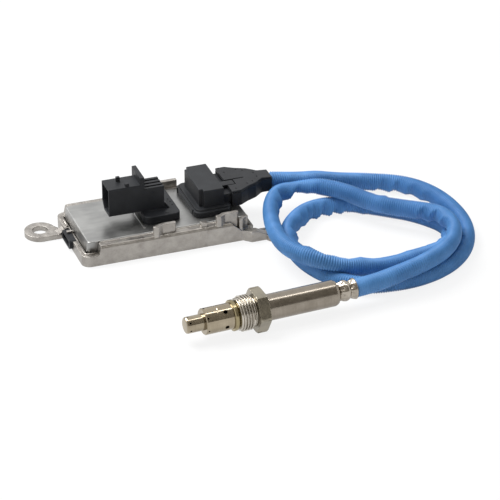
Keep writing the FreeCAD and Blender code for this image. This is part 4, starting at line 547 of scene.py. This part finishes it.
# Rolling marks are long along X and fine across it, in millimetres, and drawn coarser than they are, to show
ROLLED_LENGTH = 11.1
ROLLED_WIDTH = 2.5
HANDLED_SHARE = 0.6
pressed, shader = principled("pressed_aluminium", metallic=1.0, roughness=0.2)
coords = add(pressed, "ShaderNodeTexCoord")
stretch = add(pressed, "ShaderNodeMapping", {
    "Vector": coords.outputs["Object"],
    "Scale": (per_metre(ROLLED_LENGTH), per_metre(ROLLED_WIDTH), per_metre(ROLLED_WIDTH)),
})
rolled = add(pressed, "ShaderNodeTexNoise", {"Vector": stretch.outputs["Vector"], "Scale": 1.0,
                                             "Detail": 4.0})
handled = noise(pressed, coords, millimetres=16.7, detail=5.0)
both = add(pressed, "ShaderNodeMix", {0: HANDLED_SHARE, 2: rolled.outputs["Fac"], 3: handled.outputs["Fac"]})
two_shades(pressed, shader, both.outputs[0], "#949493", "#a8a8a6", low=0.35, high=0.65)
rounded(pressed, shader, both.outputs[0], strength=0.06, distance=0.0003, radius=LID_ROUND)
uneven_gloss(pressed, shader, handled.outputs["Fac"], low=0.35, high=0.65, smooth=0.28, rough=0.4)
wear(pressed, "housing_lid")

# Headers: glass-filled black plastic, moulded in one piece each, screwed down through the lid.
# Their moulds leave every edge a little round.
SHARP = math.radians(25)
FLAT_ENOUGH = math.radians(1)
CAD_MERGE_DISTANCE = 1e-6
HEADERS = [
    # node, width of its rounds, shortest edge that is rounded
    ("vehicle_header", 0.0003, 0.0004),
    ("sensor_header", 0.0003, 0.0),
    ("vent_housing", 0.0002, 0.0),
]


def moulded(name, dark, light, roughness, grain_size, gloss=0.22):
    """Moulded plastic or rubber: two close shades in soft clouds, and a fine even grain in millimetres."""
    material, shader = principled(name, roughness=roughness, specular_ior_level=gloss)
    coords = add(material, "ShaderNodeTexCoord")
    clouds = noise(material, coords, millimetres=8.33, detail=3.0)
    two_shades(material, shader, clouds.outputs["Fac"], dark, light)
    grain = noise(material, coords, millimetres=grain_size, detail=2.0)
    raised(material, shader, grain.outputs["Fac"], strength=0.15, distance=0.0002)
    return material


def softened(name, width, shortest=0.0):
    """A merged copy of a CAD node's mesh with its sharp edges rounded, as moulds and dies leave them."""
    mesh = bmesh.new()
    mesh.from_mesh(nodes[name].data)
    bmesh.ops.remove_doubles(mesh, verts=mesh.verts, dist=CAD_MERGE_DISTANCE)
    bmesh.ops.dissolve_limit(mesh, angle_limit=FLAT_ENOUGH, verts=mesh.verts, edges=mesh.edges)
    sharp = [edge for edge in mesh.edges if len(edge.link_faces) == 2 and edge.calc_face_angle() > SHARP
             and edge.calc_length() > shortest]
    bevelled(mesh, sharp, width, segments=2)
    for face in mesh.faces:
        face.smooth = True
    return mesh


# The glass fill gives the black a dull sheen with a fine grain, which is drawn coarser than it is, to show
header_black = moulded("glass_filled_nylon", "#1f2023", "#282a2d", roughness=0.46, grain_size=0.455)
for name, width, shortest in HEADERS:
    evened(place_piece(f"{name}_moulding", softened(name, width, shortest), header_black, "sensor_unit",
                       name))

# Moulding marks: the header's mould leaves a short bar on the tower and small round spots on the base.
# All of them are blank.
BAR_MIDDLE, BAR_SIZE = (-0.0028, -0.0072, 0.0292), (0.0036, 0.0005, 0.0007)
SPOT_LEVEL, SPOT_RISE = 0.0176, 0.0005
SPOT_TAPER = 0.8
SPOTS = [(0.0089, 0.0034, 0.0006), (0.0094, 0.0003, 0.0006), (0.0094, -0.0036, 0.0006),
         (0.0037, -0.0118, 0.0013)]
marks = bmesh.new()
bar = bmesh.ops.create_cube(marks, size=1)["verts"]
bmesh.ops.scale(marks, vec=BAR_SIZE, verts=bar)
bmesh.ops.translate(marks, vec=BAR_MIDDLE, verts=bar)
for spot_x, spot_y, radius in SPOTS:
    bmesh.ops.create_cone(marks, cap_ends=True, segments=20, radius1=radius, radius2=radius * SPOT_TAPER,
                          depth=SPOT_RISE, matrix=Matrix.Translation((spot_x, spot_y, SPOT_LEVEL)))
place_piece("moulding_marks", marks, header_black, "sensor_unit")

# Plug: moulded black plastic over the crimped terminals, with its cover welded on.
# A sprung tongue of the same plastic locks it in its header.
PLUG_ROUNDS = {"plug_housing": 0.00045, "plug_cover": 0.0004, "plug_latch": 0.0003}
# Unfilled plastic: a slightly smoother black than the headers'
plug_black = moulded("plug_nylon", "#1e1f22", "#27282b", roughness=0.44, grain_size=0.455)
for name, width in PLUG_ROUNDS.items():
    evened(place_piece(f"{name}_moulding", softened(name, width), plug_black, "sensor_unit",
                       name))

# Rubber: gaskets and grommets, moulded in soft black rubber and pressed between their neighbours.
# They are mostly hidden, and look dull and even where they aren't.
rubber = moulded("black_rubber", "#161616", "#1e1e1e", roughness=0.7, grain_size=0.833)
wear(rubber, "vehicle_header_seal", "sensor_header_seal", "plug_seal", "cable_grommet", "rear_grommet",
     "lid_seal")

# Probe tubes: the sleeve, its collar and the two shields, of stainless tube and sheet, drawn and polished.
# Every piece of the probe lies on one axis, a flat's height above the floor, and the probe's own frame
# is in millimetres, along X from the tip.
MILLIMETRE = 0.001
PROBE_TIP = Vector((-0.0238, -0.1238, 0.0110))
PROBE_YAW = math.radians(3.5)
SPUN_MERGE_DISTANCE = 1e-4
# Turning marks are as long as this round the probe, in millimetres
LAY_LENGTH = 20.0
CLOUD_SHARE = 0.65
probe_frame = (Matrix.Translation(PROBE_TIP) @ Matrix.Rotation(PROBE_YAW, 4, "Z")
               @ Matrix.Diagonal((MILLIMETRE, MILLIMETRE, MILLIMETRE, 1)))


def turned(name, dark, light, roughness, ring_spacing=0.45, relief=0.03):
    """Turned or drawn metal: fine rings round the probe's axis, their spacing in millimetres."""
    material, shader = principled(name, metallic=1.0, roughness=roughness)
    coords = add(material, "ShaderNodeTexCoord")
    lay = add(material, "ShaderNodeMapping", {"Vector": coords.outputs["Object"],
                                              "Rotation": (0.0, 0.0, -PROBE_YAW)})
    stretch = add(material, "ShaderNodeMapping", {
        "Vector": lay.outputs["Vector"],
        "Scale": (per_metre(ring_spacing), per_metre(LAY_LENGTH), per_metre(LAY_LENGTH)),
    })
    rings = add(material, "ShaderNodeTexNoise", {"Vector": stretch.outputs["Vector"], "Scale": 1.0,
                                                 "Detail": 3.0})
    clouds = noise(material, coords, millimetres=6.25, detail=4.0)
    both = add(material, "ShaderNodeMix", {0: CLOUD_SHARE, 2: rings.outputs["Fac"], 3: clouds.outputs["Fac"]})
    two_shades(material, shader, both.outputs[0], dark, light, low=0.35, high=0.65)
    raised(material, shader, rings.outputs["Fac"], strength=relief, distance=0.0002)
    return material


def spun(mesh, profile, steps):
    """Spins a closed outline of (along, radius) points about the X axis."""
    corners = [mesh.verts.new((along, 0, radius)) for along, radius in profile]
    edges = [mesh.edges.new((first, second)) for first, second in zip(corners, corners[1:] + corners[:1])]
    bmesh.ops.spin(mesh, geom=corners + edges, cent=(0, 0, 0), axis=(1, 0, 0), dvec=(0, 0, 0),
                   angle=2 * math.pi, steps=steps, use_merge=True, use_duplicate=False)
    bmesh.ops.remove_doubles(mesh, verts=mesh.verts, dist=SPUN_MERGE_DISTANCE)


def off_axis(vertex):
    """A point's distance from the probe's axis."""
    return math.hypot(vertex.co.y, vertex.co.z)


def move_out(vertex, share):
    """Moves a point out from the probe's axis, or in, to a share of its distance."""
    vertex.co.y *= share
    vertex.co.z *= share


def on_probe(mesh):
    """Turns a probe piece's faces outwards and lays it on the probe's axis."""
    bmesh.ops.recalc_face_normals(mesh, faces=mesh.faces)
    for face in mesh.faces:
        face.smooth = True
    bmesh.ops.transform(mesh, matrix=probe_frame, verts=mesh.verts)


# Drawn and polished stainless is a little warm and mirror-like, the thin shields most of all.
# Real turning marks are about a tenth of a millimetre apart, too fine to show, so the rings are drawn coarser.
drawn_steel = turned("drawn_stainless", "#867e73", "#989085", roughness=0.2)
wear(drawn_steel, "probe_sleeve", "retaining_collar")
bright_steel = turned("polished_stainless", "#988d7a", "#aba08c", roughness=0.1)
wear(bright_steel, "inner_shield", "outer_shield")

# Seat: the probe's shell, turned from stainless bar, with the flange that seals in the exhaust.
# Heat has tinted it gold.
seat_steel = turned("heat_tinted_steel", "#8f8466", "#aa9d7c", roughness=0.2)
wear(seat_steel, "probe_shell")

# Nut: a hexagon milled on a turned steel blank, free to turn on the shell, all in millimetres.
# Its shank has a rolled M20 thread, and a neck lies between the two.
FLAT = 11.0
CORNER = FLAT / math.cos(math.pi / 6)
BORE = 7.06
OUTSIDE = BORE + 1
SPIN_STEPS = 96
HEX_START, HEX_END = 39.8, 46.2
HEX_CHAMFER = 0.5
HEX_ROUND = 0.22
HEX_DISSOLVE = math.radians(0.5)
FACE_RADIUS = 11.9
NEAR_FACE = 0.01
SHANK_START = 30.0
LEAD_IN = 0.4
THREAD_END = 38.4
THREAD_CREST = 9.9
THREAD_ROOT = 9.0
THREAD_PITCH = 1.6
CREST_WIDTH = 0.3
NECK_RADIUS = 8.3
NECK_SLOPE = 0.5
FILLET = [(-0.15, 0.35), (0.1, 0.8)]
# The tooth is a little narrower than the pitch at its foot, which is sunk in the shank
TOOTH_HALF_FOOT = 0.48 * THREAD_PITCH
TOOTH_FOOT = THREAD_ROOT - 0.1
FIRST_TOOTH = SHANK_START + 0.8 * THREAD_PITCH
STEPS_PER_TURN = 60
# The thread rises from the lead-in and dies out at the neck, both at a slope
JUST_OUTSIDE = 0.05
START_DEPTH = 0.2
RUNOUT = 0.2
RUNOUT_SLOPE = 1.2
# Nickel plate: paler than the tubes, and palest where the thread was rolled
nut_steel = turned("plated_steel", "#8f897c", "#a39c8c", roughness=0.24)
thread_steel = turned("rolled_thread_steel", "#b5aea2", "#cbc5bb", roughness=0.2, ring_spacing=0.3)
hexagon = bmesh.new()
spun(hexagon, [(HEX_START, BORE), (HEX_START, CORNER), (HEX_START + HEX_CHAMFER, CORNER),
               (HEX_END - HEX_CHAMFER, CORNER), (HEX_END, CORNER), (HEX_END, BORE)], SPIN_STEPS)
for vertex in hexagon.verts:
    radius = off_axis(vertex)
    if radius > OUTSIDE:
        turn = math.atan2(vertex.co.z, vertex.co.y) % (math.pi / 3) - math.pi / 6
        wanted = FLAT / math.cos(turn)
        if min(vertex.co.x - HEX_START, HEX_END - vertex.co.x) < NEAR_FACE:
            wanted = min(wanted, FACE_RADIUS)
        move_out(vertex, wanted / radius)
bmesh.ops.dissolve_limit(hexagon, angle_limit=HEX_DISSOLVE, verts=hexagon.verts, edges=hexagon.edges)
hex_edges = [edge for edge in hexagon.edges if len(edge.link_faces) == 2 and edge.calc_face_angle() > SHARP
             and math.hypot(*(edge.verts[0].co.yz + edge.verts[1].co.yz) / 2) > OUTSIDE]
bevelled(hexagon, hex_edges, HEX_ROUND, segments=2)
on_probe(hexagon)
evened(place_piece("nut_hexagon", hexagon, nut_steel, "nut", "thread_nut"))

shank = bmesh.new()
spun(shank, [
    (SHANK_START, BORE),
    (SHANK_START, THREAD_ROOT - LEAD_IN),
    (SHANK_START + LEAD_IN, THREAD_ROOT),
    (THREAD_END, THREAD_ROOT),
    (THREAD_END + NECK_SLOPE, NECK_RADIUS),
    (HEX_START - NECK_SLOPE, NECK_RADIUS),
    *[(HEX_START + along, NECK_RADIUS + out) for along, out in FILLET],
    (HEX_START + FILLET[-1][0], BORE),
], SPIN_STEPS)
tooth = [(-TOOTH_HALF_FOOT, TOOTH_FOOT), (-CREST_WIDTH / 2, THREAD_CREST), (CREST_WIDTH / 2, THREAD_CREST),
         (TOOTH_HALF_FOOT, TOOTH_FOOT)]
turns = (THREAD_END - SHANK_START - THREAD_PITCH) / THREAD_PITCH
tooth_corners = [shank.verts.new((FIRST_TOOTH + along, 0, radius)) for along, radius in tooth]
tooth_face = shank.faces.new(tooth_corners)
bmesh.ops.spin(shank, geom=tooth_corners + list(tooth_face.edges) + [tooth_face], cent=(0, 0, 0),
               axis=(1, 0, 0), dvec=(THREAD_PITCH / STEPS_PER_TURN, 0, 0), angle=2 * math.pi * turns,
               steps=int(round(turns * STEPS_PER_TURN)), use_merge=False, use_duplicate=False)
for vertex in shank.verts:
    radius = off_axis(vertex)
    if radius > THREAD_ROOT + JUST_OUTSIDE:
        allowed = min(THREAD_CREST, THREAD_ROOT - START_DEPTH + (vertex.co.x - SHANK_START),
                      THREAD_ROOT + RUNOUT_SLOPE * (THREAD_END + RUNOUT - vertex.co.x))
        if radius > allowed:
            move_out(vertex, allowed / radius)
on_probe(shank)
evened(place_piece("nut_thread", shank, thread_steel, "nut"))

# Ferrule: a thin stainless tube crimped twice round the sleeve's end, all in millimetres.
# The jaws of the crimping tool leave a ring of dents at each crimp.
FERRULE_START, FERRULE_END = 89.1, 100.6
FERRULE_NECK = 4.9
FERRULE_STEPS = 64
BULGE_RADIUS = 6.0
BULGE_FULLNESS = 0.8
BULGE_STEPS = 8
FIRST_BULGE = 94.6
BULGE_HALF = 2.2
VALLEY_RADIUS = 4.7
VALLEY_LENGTH = 1.1
LIP_WALL = 0.7
LIP_DEPTH = 0.5
CABLE_BORE = 4.0
TUBE_WALL = 0.3
JAWS = 8
JAW_SHARPNESS = 3
DENT_DEPTH = 0.95
DENT_BALANCE = 0.45
DENT_LENGTH = 1.0
DENTS = (92.3, 97.6)
# Crimped tube: bright, and streaked where the jaws slid
ferrule_steel = turned("crimped_stainless", "#9d9589", "#b5ada1", roughness=0.16, ring_spacing=0.5,
                       relief=0.08)
outside = [(FERRULE_START, FERRULE_NECK), (FIRST_BULGE - BULGE_HALF, FERRULE_NECK)]
for step in range(1 - BULGE_STEPS, BULGE_STEPS):
    share = step / BULGE_STEPS
    rise = math.cos(math.pi * share / 2) ** BULGE_FULLNESS
    outside.append((FIRST_BULGE + BULGE_HALF * share, FERRULE_NECK + (BULGE_RADIUS - FERRULE_NECK) * rise))
outside.append((FIRST_BULGE + BULGE_HALF, VALLEY_RADIUS))
rise_start = FIRST_BULGE + BULGE_HALF + VALLEY_LENGTH
for step in range(BULGE_STEPS + 1):
    share = step / BULGE_STEPS
    rise = math.sin(math.pi * share / 2)
    outside.append((rise_start + (FERRULE_END - rise_start) * share,
                    VALLEY_RADIUS + (BULGE_RADIUS - VALLEY_RADIUS) * rise))
ferrule = bmesh.new()
spun(ferrule, outside + [(FERRULE_END, BULGE_RADIUS - LIP_WALL), (FERRULE_END - LIP_DEPTH, CABLE_BORE),
                         (FERRULE_START, CABLE_BORE)], FERRULE_STEPS)
for vertex in ferrule.verts:
    radius = off_axis(vertex)
    if radius > CABLE_BORE + TUBE_WALL:
        turn = math.atan2(vertex.co.z, vertex.co.y)
        jaw = abs(math.cos(JAWS / 2 * turn)) ** JAW_SHARPNESS
        near = max(math.exp(-((vertex.co.x - at) / DENT_LENGTH) ** 2) for at in DENTS)
        move_out(vertex, 1 - DENT_DEPTH * near * (jaw - DENT_BALANCE) / radius)
on_probe(ferrule)
place_piece("crimped_ferrule", ferrule, ferrule_steel, "sensor_unit", "crimp_ferrule")

# Inside: the board and its parts, pins, wires, ceramics and the vent's film, each of its own usual stuff.
# The case and the tubes hide nearly all of it, so each gets two close shades and a fine grain.
FINE_GRAIN = 0.667
INSIDE = {
    "fibreglass_board": ("#0f4f2a", "#17613a", 0.4, ["circuit_board"]),
    "chip_resin": ("#0d0d0d", "#171717", 0.5, ["controller_chip", "power_chips"]),
    "heat_gel": ("#93a1b5", "#a6b3c4", 0.7, ["thermal_pad"]),
    "fired_ceramic": ("#e3e0d6", "#f0eee6", 0.6,
                      ["sensing_element", "front_ceramic", "rear_ceramic", "contact_holder"]),
    "talc_powder": ("#c5c4bb", "#d6d5cd", 0.9, ["talc_packing"]),
    "wire_jackets": ("#d5d3c8", "#e6e4da", 0.5, ["plug_leads", "probe_leads"]),
    "vent_film": ("#dcdcd8", "#ecece8", 0.8, ["vent_membrane"]),
}
for name, (dark, light, roughness, members) in INSIDE.items():
    wear(moulded(name, dark, light, roughness, FINE_GRAIN), *members)
# Tin plate is pale and a little yellow over brass, and zinc plate a dull cool grey
pin_tin = turned("tinned_brass", "#b8ad8a", "#d3c9a8", roughness=0.3)
wear(pin_tin, "vehicle_header_pins", "sensor_header_pins", "plug_terminals")
zinc = turned("zinc_plate", "#a4a6a4", "#c2c4c2", roughness=0.35)
wear(zinc, "board_screws", "capacitors", "bedding_sleeve")
